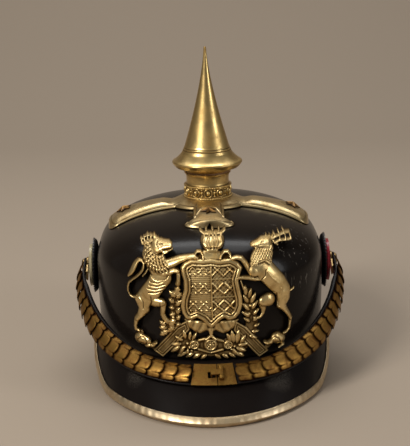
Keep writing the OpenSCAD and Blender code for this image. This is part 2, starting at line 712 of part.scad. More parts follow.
// Where the dome leans back under the plate's top, the sheet thins to a part of its depth
thin_from = 102;
thin_over = 14;
thin_part = 0.3;
function thinned(z, h) = relief_h
    - (relief_h - h)*mix(1, thin_part, smooth((z - thin_from)/thin_over));
plate_half = 68;
side_drop = 12;
function plate_grid(h) = let (r = 20, c = 32)
    [for (i = [0:r]) [for (j = [0:c]) let (x = mix(-plate_half, plate_half, j/c),
        top = plate_top_z - side_drop*pow(x/plate_half, 4), z = mix(plate_z - 3, top, i/r))
        plate_pt(x, z, thinned(z, h))]];

// The outline round two circles given as x, z and radius
function capsule(p, q, n) = let (
    a = atan2(q[1] - p[1], q[0] - p[0]),
    b = acos((p[2] - q[2])/norm([q[0] - p[0], q[1] - p[1]])))
    concat([for (i = [0:n]) let (t = a - b + 2*b*i/n) [q[0] + q[2]*cos(t), q[1] + q[2]*sin(t)]],
        [for (i = [0:n]) let (t = a + b + (360 - 2*b)*i/n) [p[0] + p[2]*cos(t), p[1] + p[2]*sin(t)]]);

// A chain of rounded limbs through points given as x, z and radius
module limb(points) {
    for (i = [0:len(points) - 2]) polygon(capsule(points[i], points[i + 1], 5));
}

module shield_outline(grow) {
    w = 19.5 + grow;
    polygon([[-w + 1, 104 + grow], [-w + 3.5, 98], [-w + 0.5, 92], [-w - 1.5, 84], [-w - 1, 74],
        [-w + 3, 66], [-9, 65 - grow], [-5, 63 - grow], [0, 58 - grow], [5, 63 - grow],
        [9, 65 - grow], [w - 3, 66], [w + 1, 74], [w + 1.5, 84], [w - 0.5, 92], [w - 3.5, 98],
        [w - 1, 104 + grow], [8, 105 + grow], [0, 106.5 + grow], [-8, 105 + grow]]);
}

module crown_outline() {
    limb([[-7, 108, 2], [7, 108, 2]]);
    for (s = [-1, 1]) limb([[s*5, 109, 2], [s*9, 112.5, 2], [s*6, 115.5, 1.6], [0, 116, 1.4]]);
    limb([[0, 109, 2.6], [0, 116, 1.6]]);
}

module lion_outline() {
    translate([4, 0]) lion_limbs();
}

module lion_limbs() {
    limb([[-48, 112.5, 1.6], [-43, 114, 1.6]]);
    limb([[-46, 108.5, 4.4], [-41, 110, 3.6], [-35, 110.5, 1.8]]);
    limb([[-47, 106, 4], [-43, 100, 6.4], [-40, 95, 6.6]]);
    limb([[-41, 92, 5.4], [-46, 86, 5.2], [-50, 80, 5.6]]);
    limb([[-52, 78, 5.4], [-53, 71, 3], [-56.5, 66, 1.6], [-55, 60, 1.8]]);
    limb([[-46, 81, 4.2], [-38, 80, 3.6], [-36, 71, 2.2], [-34, 63, 1.8]]);
    limb([[-38, 101, 3], [-30, 104, 2.4], [-22, 107, 2]]);
    limb([[-36, 94, 2.8], [-28, 97, 2.2], [-26, 90, 1.6]]);
    limb([[-56, 78, 1.2], [-62, 81, 1.1], [-61, 89, 1.1], [-55, 95, 1.1], [-53, 101, 1.4],
        [-58, 100, 1.8], [-62, 92, 1.6]]);
    limb([[-55, 58, 1.6], [-54, 50, 3], [-48, 46, 4], [-43, 45, 1.6]]);
}

module stag_outline() {
    limb([[40, 110, 1.2], [47, 113, 1], [55, 112, 1], [55, 108, 0.9]]);
    limb([[47, 113, 0.9], [47, 116, 0.8]]);
    limb([[29, 109.5, 1.6], [37, 111, 3]]);
    limb([[38, 109, 3.2], [37, 101, 5.2], [36, 95, 5.8]]);
    limb([[38, 93, 6], [45, 87, 5.6], [51, 80, 6]]);
    limb([[53, 78, 5.2], [53, 70, 3], [57, 63, 1.5], [54, 50, 1.4]]);
    limb([[47, 80, 4.6], [40, 76, 4.2], [37, 69, 2], [35, 63, 1.6]]);
    limb([[33, 100, 2.4], [28, 104, 1.9], [20, 103, 1.6]]);
    limb([[34, 92, 2.4], [25, 91, 1.8], [25, 84, 1.4]]);
    limb([[57, 81, 1], [60, 82, 0.9]]);
    limb([[53, 47, 2.4], [48, 44, 4], [42, 43, 1.6]]);
}

module branch_outlines() {
    for (s = [-1, 1]) {
        for (p = [[27, 78], [25, 71], [27, 64], [31, 57], [29, 70]])
            translate([s*p[0], p[1]]) circle(r = 4.6, $fn = 12);
        limb([[s*18, 62, 4], [s*28, 50, 4.4], [s*37, 39.5, 4]]);
        for (p = [[16, 50], [22, 44], [9, 42], [16, 40]])
            translate([s*p[0], p[1]]) circle(r = 4.6, $fn = 12);
        limb([[s*6, 50, 3], [s*14, 55, 3]]);
    }
    translate([0, 45]) circle(r = 9, $fn = 28);
}

// Extrudes an outline drawn in x and z through the sheet between two heights over the plate's back
module draped(low, high) {
    intersection() {
        sheet(plate_grid(high), plate_grid(low));
        rotate([90, 0, 0]) linear_extrude(height = skull_l) children();
    }
}

module front_plate() {
    color(gilt) placed() {
        draped(0, plate_t) {
            shield_outline(2.5);
            crown_outline();
            lion_outline();
            stag_outline();
            branch_outlines();
        }
        draped(0.5*plate_t, relief_h) {
            shield_outline(0);
            lion_outline();
            stag_outline();
        }
    }
}

// Places +Z along +Y at a plate post, starting at the plate's back
module plate_axis(s) {
    p = plate_pt(s*plate_post_x, plate_post_z, 0);
    translate(p) rotate([-90, 0, 0]) children();
}

post_through = 9.6;
module plate_posts() {
    color(old_brass) placed() for (s = [-1, 1]) plate_axis(s)
        translate([0, 0, 0.1]) cylinder(r = plate_post_r, h = post_through, $fn = 32);
}

module plate_nuts() {
    color(old_brass) placed() for (s = [-1, 1]) plate_axis(s)
        translate([0, 0, plate_off(plate_post_z) + skull_wall + 1.8])
            hex_nut(7, plate_post_r + running_gap, 2.6);
}

// Cockades: a fluted black disc with a painted dish before it, on each side post
module cockade(side) {
    color([0.06, 0.06, 0.06]) placed() at_post(side) translate([0, 0, cockade_x])
        rotate_extrude($fn = 96) polygon([
            [post_r + running_gap, 0], [post_r + running_gap, 1.2], [0.65*cockade_r, 1.2],
            [0.88*cockade_r, 2.4], [cockade_r, 3.4], [cockade_r, 2.2], [0.9*cockade_r, 1],
            [0.67*cockade_r, 0]]);
}

module dish(side, tint) {
    color(tint) placed() at_post(side) translate([0, 0, cockade_x + 1.5])
        rotate_extrude($fn = 96) polygon([
            [post_r + running_gap, 0], [post_r + running_gap, 1.4], [0.7*dish_r, 1.8],
            [0.93*dish_r, 3.4], [dish_r, 5], [dish_r, 3.6], [0.95*dish_r, 1.9], [0.74*dish_r, 0.2]]);
}

module left_cockade() { cockade(-1); }
module right_cockade() { cockade(1); }
module left_cockade_dish() { dish(-1, [0.80, 0.76, 0.66]); }
module right_cockade_dish() { dish(1, [0.60, 0.10, 0.12]); }

// Side posts: turned pins through the skull with a domed head outside and a nut inside
module post(side) {
    inner = skull_w/2 - skull_wall - 4.6;
    color(old_brass) placed() at_post(side) {
        translate([0, 0, inner]) cylinder(r = post_r, h = head_x - inner + 0.1, $fn = 48);
        translate([0, 0, head_x]) rotate_extrude($fn = 48) polygon([
            [0, 0], [5, 0], [5, 0.8], [4, 1.8], [2, 2.3], [0, 2.4]]);
    }
}

module post_nut(side) {
    color(old_brass) placed() at_post(side)
        translate([0, 0, skull_w/2 - skull_wall - 0.6 - 3]) hex_nut(9, post_r + running_gap, 3);
}

module left_post() { post(-1); }
module right_post() { post(1); }
module left_post_nut() { post_nut(-1); }
module right_post_nut() { post_nut(1); }

// The chin strap's path on the right side, by the angle from the front middle to the post
function chin_turn(a) = let (y = strap_y*pow(cos(a), 2/chin_power))
    [strap_x*pow(sin(a), 2/chin_power) - post_inset*exp(-pow(y/16, 2)), -y,
     strap_front_z + (post_z - strap_front_z)*pow(1 - y/strap_y, chin_rise)];
turn_step = 1.5;
turns = [for (i = [0:60]) turn_step*i];
run_table = [for (i = 0, s = 0; i < len(turns); i = i + 1,
    s = s + (i < len(turns) ? norm(chin_turn(turns[i]) - chin_turn(turns[i - 1])) : 0)) [s, turns[i]]];
chin_len = run_table[len(run_table) - 1][0];
function chin_at(s) = s < 0 ? let (p = chin_turn(lookup(-s, run_table))) [-p.x, p.y, p.z]
    : s > chin_len ? let (a = chin_turn(90), b = chin_turn(88)) a + (s - chin_len)*unit(a - b)
    : chin_turn(lookup(s, run_table));

// The strap's frame at a run s: place, direction, outward normal and upward width
function chin_frame(s) = let (
    p = chin_at(s),
    run = unit(chin_at(s + 2) - chin_at(s - 2)),
    tilt = front_tilt*max(0, -p.y)/strap_y,
    lean = unit([run.y, -run.x, 0])*cos(tilt) + [0, 0, sin(tilt)],
    out = unit(lean - run*(lean*run)))
    [p, run, out, cross(out, run)];
function chin_pt(s, w, h) = let (f = chin_frame(s)) f[0] + f[3]*w + f[2]*h;
function strap_half(s) = let (k = (s - chin_len + 4)/9)
    strap_w/2*(k > 0 ? sqrt(max(0.02, 1 - k*k)) : 1);

// A strip along the path between two runs, from height low to high over the strap's middle
module strip(runs, half, low, high, pad = 0) {
    sheet([for (w = [-1, 0, 1]) [for (s = runs) chin_pt(s, w*half*min(1, strap_half(s)/(strap_w/2)), high)]],
        [for (w = [-1, 0, 1]) [for (s = runs)
            chin_pt(s, w*half*min(1, strap_half(s)/(strap_w/2)), low - pad*padding(s))]]);
}

module right_side(side) {
    mirror([side < 0 ? 1 : 0, 0, 0]) children();
}

// The strap is padded behind the scales beside the skull, and thin in front and at its post
strap_from = 9;
function padding(s) = smooth((s - 50)/50)*smooth((chin_len - 20 - s)/14);
module strap(side) {
    n = 26;
    color(black_leather) placed() right_side(side) difference() {
        strip([for (i = [0:n]) mix(strap_from, chin_len + 4.6, i/n)], strap_w/2,
            -strap_t/2, strap_t/2, strap_pad);
        translate([0, 0, post_z]) rotate([0, 90, 0]) cylinder(r = post_r + 0.7, h = 2*skull_w, $fn = 48);
    }
}

// Chin scales: domed plates whose free edges have one large lobe between two small ones
scale_pitch = (chin_len - 7 - scales_from)/scale_count;
scale_gap = 0.3;
scale_lift = 1.5;
function lobe(k) = let (a = abs(k))
    2.6*sqrt(max(0, 1 - pow(a/0.58, 2))) + 1.5*sqrt(max(0, 1 - pow((a - 0.79)/0.24, 2)));

// A point of a scale: k runs up across the strap, v along it from the free edge to the rear
function scale_pt(from, k, v, h) = chin_pt(from + v*(scale_pitch - scale_gap) - lobe(k) + 2.6,
    k*strap_w/2, strap_t/2 + 0.25 + scale_dome*(1 - k*k) + scale_lift*(1 - v) + h);

module scales(side) {
    cols = 8;
    color(old_brass) placed() right_side(side) for (i = [0:scale_count - 1]) {
        from = scales_from + i*scale_pitch;
        sheet([for (r = [0:cols]) [for (v = [0, 0.5, 1]) scale_pt(from, 2*r/cols - 1, v, scale_t)]],
            [for (r = [0:cols]) [for (v = [0, 0.5, 1]) scale_pt(from, 2*r/cols - 1, v, 0)]]);
    }
}

// Loop: the metal eye that turns on the side post, with a tongue under the strap
module loop(side) {
    run = chin_frame(chin_len)[1];
    color(old_brass) placed() right_side(side) difference() {
        translate([loop_x, 0, post_z]) rotate([0, 90, 0]) linear_extrude(height = loop_t) {
            circle(r = 6.5, $fn = 48);
            rotate(atan2(-run.y, run.z)) translate([0, -4.5]) square([13, 9]);
        }
        translate([0, 0, post_z]) rotate([0, 90, 0])
            cylinder(r = post_r + running_gap, h = 2*skull_w, $fn = 48);
    }
}

// End plates over the straps' front ends, the left one with the slot that the hook enters
plate_low = strap_t/2 + 0.15;
plate_high = plate_low + end_plate_t;
left_plate_from = -2.2;
right_plate_from = 2.8;
hook_run = 5.2;
pin_r = 0.9;
knuckle_r = 1.9;
pin_h = plate_high + knuckle_r + 0.1;
tongue_l = 7.4;
catch_slot_l = 5;

// Puts X along the strap, Y across it and Z out of it at the hook's pin
module at_hook() {
    f = chin_frame(hook_run);
    multmatrix([[f[1].x, f[3].x, f[2].x, f[0].x], [f[1].y, f[3].y, f[2].y, f[0].y],
        [f[1].z, f[3].z, f[2].z, f[0].z], [0, 0, 0, 1]]) translate([0, 0, pin_h]) children();
}

module end_strip(from) {
    strip([for (i = [0:4]) mix(from, scales_from - 0.3, i/4)], 8.6, plate_low, plate_high);
}

module left_end_plate() {
    color(old_brass) placed() difference() {
        right_side(-1) end_strip(left_plate_from);
        at_hook() translate([-tongue_l - 2, -2.6, -pin_h]) cube([catch_slot_l, 5.2, 2*pin_h]);
    }
}

module knuckle(low, high) {
    rotate([90, 0, 0]) translate([0, 0, -high]) cylinder(r = knuckle_r, h = high - low, $fn = 32);
}

module right_end_plate() {
    color(old_brass) placed() difference() {
        union() {
            end_strip(right_plate_from);
            at_hook() for (s = [[-5, -2.3], [2.3, 5]]) {
                knuckle(s[0], s[1]);
                translate([-1, s[0], plate_low + 0.3 - pin_h]) cube([2, s[1] - s[0], pin_h - plate_low]);
            }
        }
        at_hook() rotate([90, 0, 0]) cylinder(r = pin_r + running_gap, h = 20, center = true, $fn = 32);
    }
}

module catch_pin() {
    color(old_brass) placed() at_hook() rotate([90, 0, 0])
        cylinder(r = pin_r, h = 10.4, center = true, $fn = 32);
}

module catch_hook() {
    color(gilt) placed() at_hook() difference() {
        union() {
            knuckle(-2, 2);
            translate([-tongue_l, -2, 0.9]) cube([tongue_l, 4, 1]);
            translate([-tongue_l, -2, -3.4]) cube([1, 4, 4.6]);
        }
        rotate([90, 0, 0]) cylinder(r = pin_r + running_gap, h = 20, center = true, $fn = 32);
    }
}

module left_strap() { strap(-1); }
module right_strap() { strap(1); }
module left_scales() { scales(-1); }
module right_scales() { scales(1); }
module left_loop() { loop(-1); }
module right_loop() { loop(1); }

// Sweatband: a leather ring inside the rim
sweatband_d = -skull_wall - 0.5;
module sweatband() {
    function ring(d) = [for (k = [0:2]) [for (j = [0:around - 1])
        wall_pt(360*j/around, rim_z + 0.6 + k*sweatband_h/2, d)]];
    color(tan_leather) placed() band(ring(sweatband_d), ring(sweatband_d - sweatband_t));
}

// Lining: ribbed silk sewn inside the sweatband and drawn together under the crown
lining_rows = 8;
function lining_ring(k, more) = let (
    start = sweatband_d - sweatband_t - 0.4,
    low = rim_z + sweatband_h - 7)
    k == 0 ? [for (j = [0:around - 1]) wall_pt(360*j/around, low, start - more)]
    : k == 1 ? [for (j = [0:around - 1]) wall_pt(360*j/around, low + 8, start - 3.5 - more)]
    : [for (j = [0:around - 1]) let (q = (k - 2)/(lining_rows - 2))
        dome_pt(360*j/around, 2 + 72*pow(q, 1.2), start - 5 - 5*q - more)];

module lining() {
    color([0.50, 0.42, 0.32]) placed() band(
        [for (k = [0:lining_rows]) lining_ring(k, 0)],
        [for (k = [0:lining_rows]) lining_ring(k, lining_t)]);
}

// The drawstring that gathers the lining's top
module lining_tie() {
    tie_r = 1;
    path = lining_ring(lining_rows, lining_t + tie_r + 0.3);
    sides = 8;
    loops = [for (j = [0:around - 1]) let (p = path[j], out = unit([p.x, p.y, 0]))
        [for (m = [0:sides - 1]) p + tie_r*(cos(360*m/sides)*out + sin(360*m/sides)*[0, 0, 1])]];
    k = sides;
    n = around;
    color([0.80, 0.76, 0.66]) placed() polyhedron(flat(loops),
        [for (j = [0:n - 1], m = [0:k - 1]) let (a = (j + 1)%n, b = (m + 1)%k)
            each quad(j*k + m, j*k + b, a*k + b, a*k + m)]);
}

skull();
front_visor();
front_visor_lining();
rear_visor();
rear_visor_lining();
visor_trim();
rear_spine();
spine_rivets();
vent_slider();
spike_base();
star_studs();
star_nuts();
neck_band();
spike_neck();
neck_bush();
crown_washer();
crown_nut();
spike_washer();
spike();
front_plate();
plate_posts();
plate_nuts();
left_cockade();
right_cockade();
left_cockade_dish();
right_cockade_dish();
left_post();
right_post();
left_post_nut();
right_post_nut();
left_strap();
right_strap();
left_scales();
right_scales();
left_loop();
right_loop();
left_end_plate();
right_end_plate();
catch_pin();
catch_hook();
sweatband();
lining();
lining_tie();
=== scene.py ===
"""A spiked dress helmet of black leather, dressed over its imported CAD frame.

Shapes are worked out in millimetres round the spike's axis, with the same named values as the
part's source, and are moved into the row's frame, in metres, when their mesh is made.
"""
import json
import math

import bpy
import numpy as np
from mathutils import Matrix


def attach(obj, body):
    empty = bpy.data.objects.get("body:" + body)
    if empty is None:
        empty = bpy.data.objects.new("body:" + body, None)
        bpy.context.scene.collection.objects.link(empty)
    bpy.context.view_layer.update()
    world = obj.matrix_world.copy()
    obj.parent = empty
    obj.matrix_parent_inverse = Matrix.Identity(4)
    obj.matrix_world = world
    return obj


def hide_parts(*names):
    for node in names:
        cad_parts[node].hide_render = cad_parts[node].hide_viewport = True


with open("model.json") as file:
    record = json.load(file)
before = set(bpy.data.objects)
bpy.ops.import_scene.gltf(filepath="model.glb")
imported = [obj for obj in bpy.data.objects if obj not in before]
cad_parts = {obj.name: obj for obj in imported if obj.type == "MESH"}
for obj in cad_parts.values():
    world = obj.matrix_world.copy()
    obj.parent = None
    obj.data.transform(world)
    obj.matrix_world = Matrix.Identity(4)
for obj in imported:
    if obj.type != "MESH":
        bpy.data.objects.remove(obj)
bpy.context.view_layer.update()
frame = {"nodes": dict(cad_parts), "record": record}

# Sizes in millimetres, as in the part's source, and counts of rows and columns
skull_w, skull_l, crown_z, widest_z, rim_z, skull_wall = 174.0, 214.0, 124.0, 80.0, 32.0, 3.0
skull_cols, wall_rows, dome_rows = 240, 16, 46
rim_taper, side_power, front_power, crown_power = 1.5, 2.0, 2.8, 3.1
front_reach, rear_reach, front_visor_w, rear_visor_w = 41.0, 19.0, 176.0, 172.0
visor_t, visor_lining_t, trim_w, trim_t = 2.4, 0.8, 5.5, 0.7
level_part, visor_power, visor_bow, front_root, rear_root, edge_z = 0.66, 1.9, 1.0, 30.0, 34.0, 1.2
front_seam, rear_seam, seat_gap = 81.0, 79.0, 0.3
rear_level, rear_edge_z, rear_bow, visor_lift_power, visor_rows, visor_cols = 0.5, -0.4, 1.5, 1.6, 28, 161
lining_gap, trim_gap, trim_reach, trim_cols = 0.1, 0.15, 0.95, 401
tip_z, tip_r, spike_r, lip_z, ring_r, ring_rise = 244.5, 1.0, 27.0, 156.6, 17.7, 10.7
band_r, band_h, neck_h, neck_r, boss_count, bead_count = 17.9, 10.0, 9.2, 17.4, 11, 64
band_seat_r, neck_bore_r, base_hole_r, stud_r, stud_l = 15.3, 8.6, 9.0, 5.9, 12.0
ring_band, ring_flare, groove = 2.6, 1.35, 0.45
collar_z = crown_z + 5.3
band_top = collar_z + band_h
neck_top = band_top + neck_h
spike_seat = neck_top + 1.0
side_reach, front_arm_reach, base_disc_r, base_t = 78.0, 67.0, 31.0, 1.2
side_waist, side_end, front_waist, front_end, front_spread = 14.0, 21.0, 11.5, 18.0, 10.0
arm_end_l, arm_rise, arm_rim_w, root_inset = 8.0, 4.0, 1.5, 12.0
rim_bead_h, rim_bead_in, rim_bead_half, rim_round = 0.45, 1.0, 0.45, 0.8
side_star, front_star, star_r, star_h, star_gap = 63.5, 47.0, 6.5, 3.2, 0.15
star_places = ((side_star, 0), (-side_star, 0), (0, -front_star), (0, front_star))
plate_top_z, plate_gap, plate_lean = 118.0, 1.2, 3.0
strap_w, strap_t, strap_pad, scale_t, scale_dome, scale_lift = 15.4, 1.6, 3.0, 0.6, 2.5, 1.5
strap_from, strap_end_l, strap_tip_l, strap_round_from, strap_round_l = 9.0, 5.0, 9.6, 4.0, 9.0
lobe_l, lobe_half, small_lobe_l, small_lobe_at, small_lobe_half = 2.6, 0.58, 1.5, 0.79, 0.24
scales_from, scales_end, scale_count, scale_gap, scale_margin = 15.0, 7.0, 16, 0.3, 0.55
post_z, strap_front_z = 75.0, 27.2
chin_power, chin_rise, front_tilt, post_inset, post_inset_l = 2.03, 1.2, 53.0, 3.0, 16.0
strap_x, strap_y = skull_w/2 + 13.5, skull_l/2 + 14.0
cockade_r, dish_r, cockade_x, flute_count, cockade_steps = 21.5, 16.5, skull_w/2 + 0.4, 48, 192
sweatband_t, lining_t, sweatband_h = 1.4, 1.2, 35.0
liner_d = -skull_wall - 0.5
liner_start = liner_d - sweatband_t - 0.4
liner_low = rim_z + sweatband_h - 7
liner_overlap, liner_lean, liner_foot_d, liner_foot_angle, liner_rise = 8.0, 3.5, 5.0, 2.0, 72.0
pleat_depth, stitch_z, cord_r, cord_swell, cord_sides = 0.9, 3.0, 1.0, 0.12, 12
pleats, stitches, cord_twists = 44, 150, 60
axis_y = (front_reach + trim_reach - rear_reach - visor_t)/2


# Meshes from grids

def grid_quads(rows, cols, closed=False, start=0):
    """Quads of a grid of points, facing out where rows run up and columns run to the right."""
    i, j = np.meshgrid(np.arange(rows - 1), np.arange(cols if closed else cols - 1), indexing="ij")
    n = (j + 1) % cols
    return start + np.stack([i*cols + j, i*cols + n, (i + 1)*cols + n, (i + 1)*cols + j], -1).reshape(-1, 4)


def weld(points, quads, close=1e-4, value=None):
    """Merges points that coincide, and leaves out the quads that this makes empty."""
    key = np.round(points/close).astype(np.int64)
    _, first, back = np.unique(key, axis=0, return_index=True, return_inverse=True)
    quads = back.reshape(-1)[quads]
    kept = [list(dict.fromkeys(q)) for q in quads.tolist()]
    faces = [q for q in kept if len(q) > 2]
    return (points[first], faces) if value is None else (points[first], faces, value[first])


def make_piece(name, points, faces, material, body="shell", covers=(), slot=None, smooth=True,
               uv=None, values=None):
    """Puts points (mm, round the spike's axis) and faces into a mesh object that rides on a body."""
    points = np.asarray(points, float) + [0.0, axis_y, 0.0]
    mesh = bpy.data.meshes.new(name)
    if isinstance(faces, np.ndarray):
        size = faces.shape[1]
        mesh.vertices.add(len(points))
        mesh.vertices.foreach_set("co", (points*0.001).ravel())
        mesh.loops.add(faces.size)
        mesh.loops.foreach_set("vertex_index", faces.ravel().astype(np.int32))
        mesh.polygons.add(len(faces))
        mesh.polygons.foreach_set("loop_start", np.arange(0, faces.size, size, dtype=np.int32))
        mesh.update(calc_edges=True)
    else:
        mesh.from_pydata((points*0.001).tolist(), [], faces)
    mesh.validate()
    mesh.polygons.foreach_set("use_smooth", np.full(len(mesh.polygons), smooth))
    index = np.zeros(len(mesh.loops), np.int32)
    mesh.loops.foreach_get("vertex_index", index)
    if uv is not None:
        mesh.uv_layers.new(name="UVMap").data.foreach_set("uv", np.asarray(uv, float)[index].ravel())
    for key, value in (values or {}).items():
        mesh.attributes.new(key, "FLOAT", "POINT").data.foreach_set("value", np.asarray(value, float))
    mesh.materials.append(material)
    piece = bpy.data.objects.new(name, mesh)
    bpy.context.scene.collection.objects.link(piece)
    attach(piece, body)
    if covers:
        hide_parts(*covers)


def unit(v):
    """Directions of length 1."""
    return v/np.maximum(np.linalg.norm(v, axis=-1, keepdims=True), 1e-9)


def bulge(d, r):
    """1 - (d/r) squared, held between 0 and 1."""
    return np.clip(1 - (d/r)**2, 0, 1)


def arch(d, r):
    """The root of the bulge: a half circle of height 1 over the width 2 r."""
    return np.sqrt(bulge(d, r))


def bell(d, r):
    """A bell curve: e to the power -(d/r) squared."""
    return np.exp(-(d/r)**2)


def ring_angles(n):
    """Even angles round a circle, the last one short of the first."""
    return np.linspace(0, 2*math.pi, n, endpoint=False)


def outward(a):
    """Level directions away from the axis, at angles from the front."""
    return np.stack([np.sin(a), -np.cos(a), 0*a], 1)


def grid_normals(g):
    """Outward normals of a grid: the step to the right crossed with the step up."""
    return unit(np.cross(np.gradient(g, axis=1), np.gradient(g, axis=0)))


def grid_piece(name, rows, material, closed=True, close=1e-4, **more):
    """A piece whose surface is a grid of points that closes round it."""
    points, faces = weld(rows.reshape(-1, 3), grid_quads(*rows.shape[:2], closed=closed), close)
    make_piece(name, points, faces, material, **more)


def sheet(outer, inner):
    """A closed sheet: an outer grid, an inner grid behind it and a wall round their border."""
    r, c = outer.shape[:2]
    k = r*c
    back = grid_quads(r, c, start=k)[:, ::-1]
    i, j = np.arange(r - 1), np.arange(c - 1)
    low = np.stack([j + k, j + 1 + k, j + 1, j], 1)
    t = (r - 1)*c
    high = np.stack([t + j, t + j + 1, t + j + 1 + k, t + j + k], 1)
    left = np.stack([i*c, (i + 1)*c, (i + 1)*c + k, i*c + k], 1)
    e = c - 1
    right = np.stack([i*c + e + k, (i + 1)*c + e + k, (i + 1)*c + e, i*c + e], 1)
    points = np.concatenate([outer.reshape(-1, 3), inner.reshape(-1, 3)])
    return points, np.concatenate([grid_quads(r, c), back, low, high, left, right])


def turned(profile, steps, ripple=None):
    """Points of a profile of (radius, height) turned round Z, with rows along the profile."""
    profile = np.asarray(profile, float)
    a = ring_angles(steps)
    r = profile[:, :1] + np.zeros_like(a)
    z = profile[:, 1:2] + np.zeros_like(a)
    if ripple is not None:
        dr, dz = ripple(r, a[None, :] + 0*r)
        r, z = r + dr, z + dz
    return np.stack([r*np.sin(a), -r*np.cos(a), z], -1)


def round_profile(points, per):
    """A smooth line through given points, by Catmull-Rom, with per steps between two."""
    p = np.asarray(points, float)
    p = np.vstack([2*p[0] - p[1], p, 2*p[-1] - p[-2]])
    out = []
    for a, b, c, d in zip(p[:-3], p[1:-2], p[2:-1], p[3:]):
        t = np.linspace(0, 1, per, endpoint=False)[:, None]
        out.append(0.5*(2*b + (c - a)*t + (2*a - 5*b + 4*c - d)*t**2 + (3*b - a - 3*c + d)*t**3))
    return np.vstack(out + [p[-2:-1]])


def turned_piece(name, profile, material, steps, sunk, loop=False, **more):
    """A turned solid. The profile runs up its outside, or round its section where loop is true,
    and sunk gives how deep in shade each point of it lies."""
    profile = np.asarray(profile, float)
    if loop:
        profile = np.vstack([profile, profile[:1]])
    value = np.repeat(sunk(profile), steps)
    points, faces, value = weld(turned(profile, steps).reshape(-1, 3),
                                grid_quads(len(profile), steps, closed=True), value=value)
    make_piece(name, points, faces, material, values={"hollow": value}, **more)


# The skull's formulas

def power(v, p):
    """A power that keeps the sign."""
    return np.sign(v)*np.abs(v)**p


def dome_point(a, t, d=0.0):
    """Dome at angle a from the front and row angle t: a super-ellipse in plan that shrinks with
    cos(t) squared, and a height that grows with sin(t) to 2 over the crown's power."""
    level = np.cos(t)**2
    x = (skull_w/2 + d)*power(np.sin(a), 2/side_power)*level**(1/side_power)
    y = -(skull_l/2 + d)*power(np.cos(a), 2/front_power)*level**(1/front_power)
    z = widest_z + (crown_z + d - widest_z)*np.sin(t)**(2/crown_power)
    return np.stack([x, y, z + 0*x], -1)


def taper(z):
    """How far the wall is drawn in: the rim's taper times the square of the way down."""
    return rim_taper*(np.maximum(0, widest_z - z)/(widest_z - rim_z))**2


def wall_point(a, z, d=0.0):
    """Wall below the widest line: the full plan, drawn in by the taper."""
    e = d - taper(z)
    x = (skull_w/2 + e)*power(np.sin(a), 2/side_power)
    y = -(skull_l/2 + e)*power(np.cos(a), 2/front_power)
    return np.stack([x, y, z + 0*x], -1)


def dome_z(x, y, d=0.0):
    """Height of the dome moved out by d, over a place in plan."""
    left = 1 - (np.abs(x)/(skull_w/2 + d))**side_power - (np.abs(y)/(skull_l/2 + d))**front_power
    return widest_z + (crown_z + d - widest_z)*np.maximum(1e-4, left)**(1/crown_power)


def dome_normal(x, y):
    """Outward direction of the dome, from its heights on both sides of a place."""
    e = 0.5
    return unit(np.array([dome_z(x - e, y) - dome_z(x + e, y), dome_z(x, y - e) - dome_z(x, y + e), 2*e]))


def even_angles(n):
    """Angles round the plan whose points lie about evenly along the super-ellipse."""
    a = np.linspace(0, 2*math.pi, 4001)
    p = wall_point(a, widest_z + 0*a)
    run = np.concatenate([[0], np.cumsum(np.linalg.norm(np.diff(p, axis=0), axis=1))])
    return np.interp(np.linspace(0, run[-1], n, endpoint=False), run, a)


def skull_grid(d):
    """Rows of points on the skull moved out by d, from its rim to its crown. The dome's rows lie
    closer together at its foot."""
    a = even_angles(skull_cols)
    heights = np.linspace(rim_z, widest_z, wall_rows, endpoint=False)
    q = np.linspace(0, 1, dome_rows)
    wall = [wall_point(a, z + 0*a, d) for z in heights]
    return np.stack(wall + [dome_point(a, s + 0*a, d) for s in math.pi/2*(0.62*q + 0.38*q**2)])


def smooth(k):
    """A ramp from 0 to 1 that is level at both ends: 3 k squared - 2 k cubed."""
    k = np.clip(k, 0, 1)
    return k*k*(3 - 2*k)


# Sizes of an arm: reach, half widths at its waist and near its end, and the length it widens over
side_arm = (side_reach, side_waist, side_end, side_reach - arm_end_l - base_disc_r)
front_arm = (front_arm_reach, front_waist, front_end, front_spread)


def arm_half(u, arm):
    """Half width of an arm at a distance u from the axis: it widens by the power 1.5 and ends in
    a super-ellipse of power 2.4."""
    reach, waist, end, spread = arm
    k = np.clip((u - (reach - arm_end_l - spread))/spread, 0, 1)
    tip = np.clip((u - (reach - arm_end_l))/arm_end_l, 0, 1)
    return (waist + (end - waist)*k**1.5)*(1 - tip**2.4)**(1/2.4)


def arm_lift(x, y):
    """Lift of an arm's face: 1 - s to the fourth across it, where s reaches 1 at its flat rim."""
    along = np.maximum(np.abs(x), np.abs(y))
    half = np.where(np.abs(x) > np.abs(y), arm_half(along, side_arm), arm_half(along, front_arm))
    s = np.clip(np.minimum(np.abs(x), np.abs(y))/np.maximum(0.1, half - arm_rim_w), 0, 1)
    return arm_rise*(1 - s**4)*smooth((along - band_r - 3)/(base_disc_r + 6 - band_r - 3))


def base_face(x, y, d):
    """Face of the spike base: the skull's dome, rising to a level collar in the middle."""
    r = np.hypot(x, y)
    k = smooth((r - band_r - 0.8)/(base_disc_r - band_r - 0.8))
    return (collar_z + d - base_t)*(1 - k) + dome_z(x, y, seat_gap + d)*k + arm_lift(x, y)


# Materials

def feed(tree, n, inputs):
    """Sets inputs, given as pairs of a name or number and a value. A socket is linked."""
    for key, value in inputs:
        if isinstance(value, bpy.types.NodeSocket):
            tree.links.new(value, n.inputs[key])
        else:
            n.inputs[key].default_value = value


def node(tree, kind, *inputs, **values):
    """A node with its settings and named inputs, and its first inputs in their order."""
    n = tree.nodes.new(kind)
    named = [(key, value) for key, value in values.items() if not hasattr(n, key)]
    for key, value in values.items():
        if hasattr(n, key):
            setattr(n, key, value)
    feed(tree, n, named + list(enumerate(inputs)))
    return n


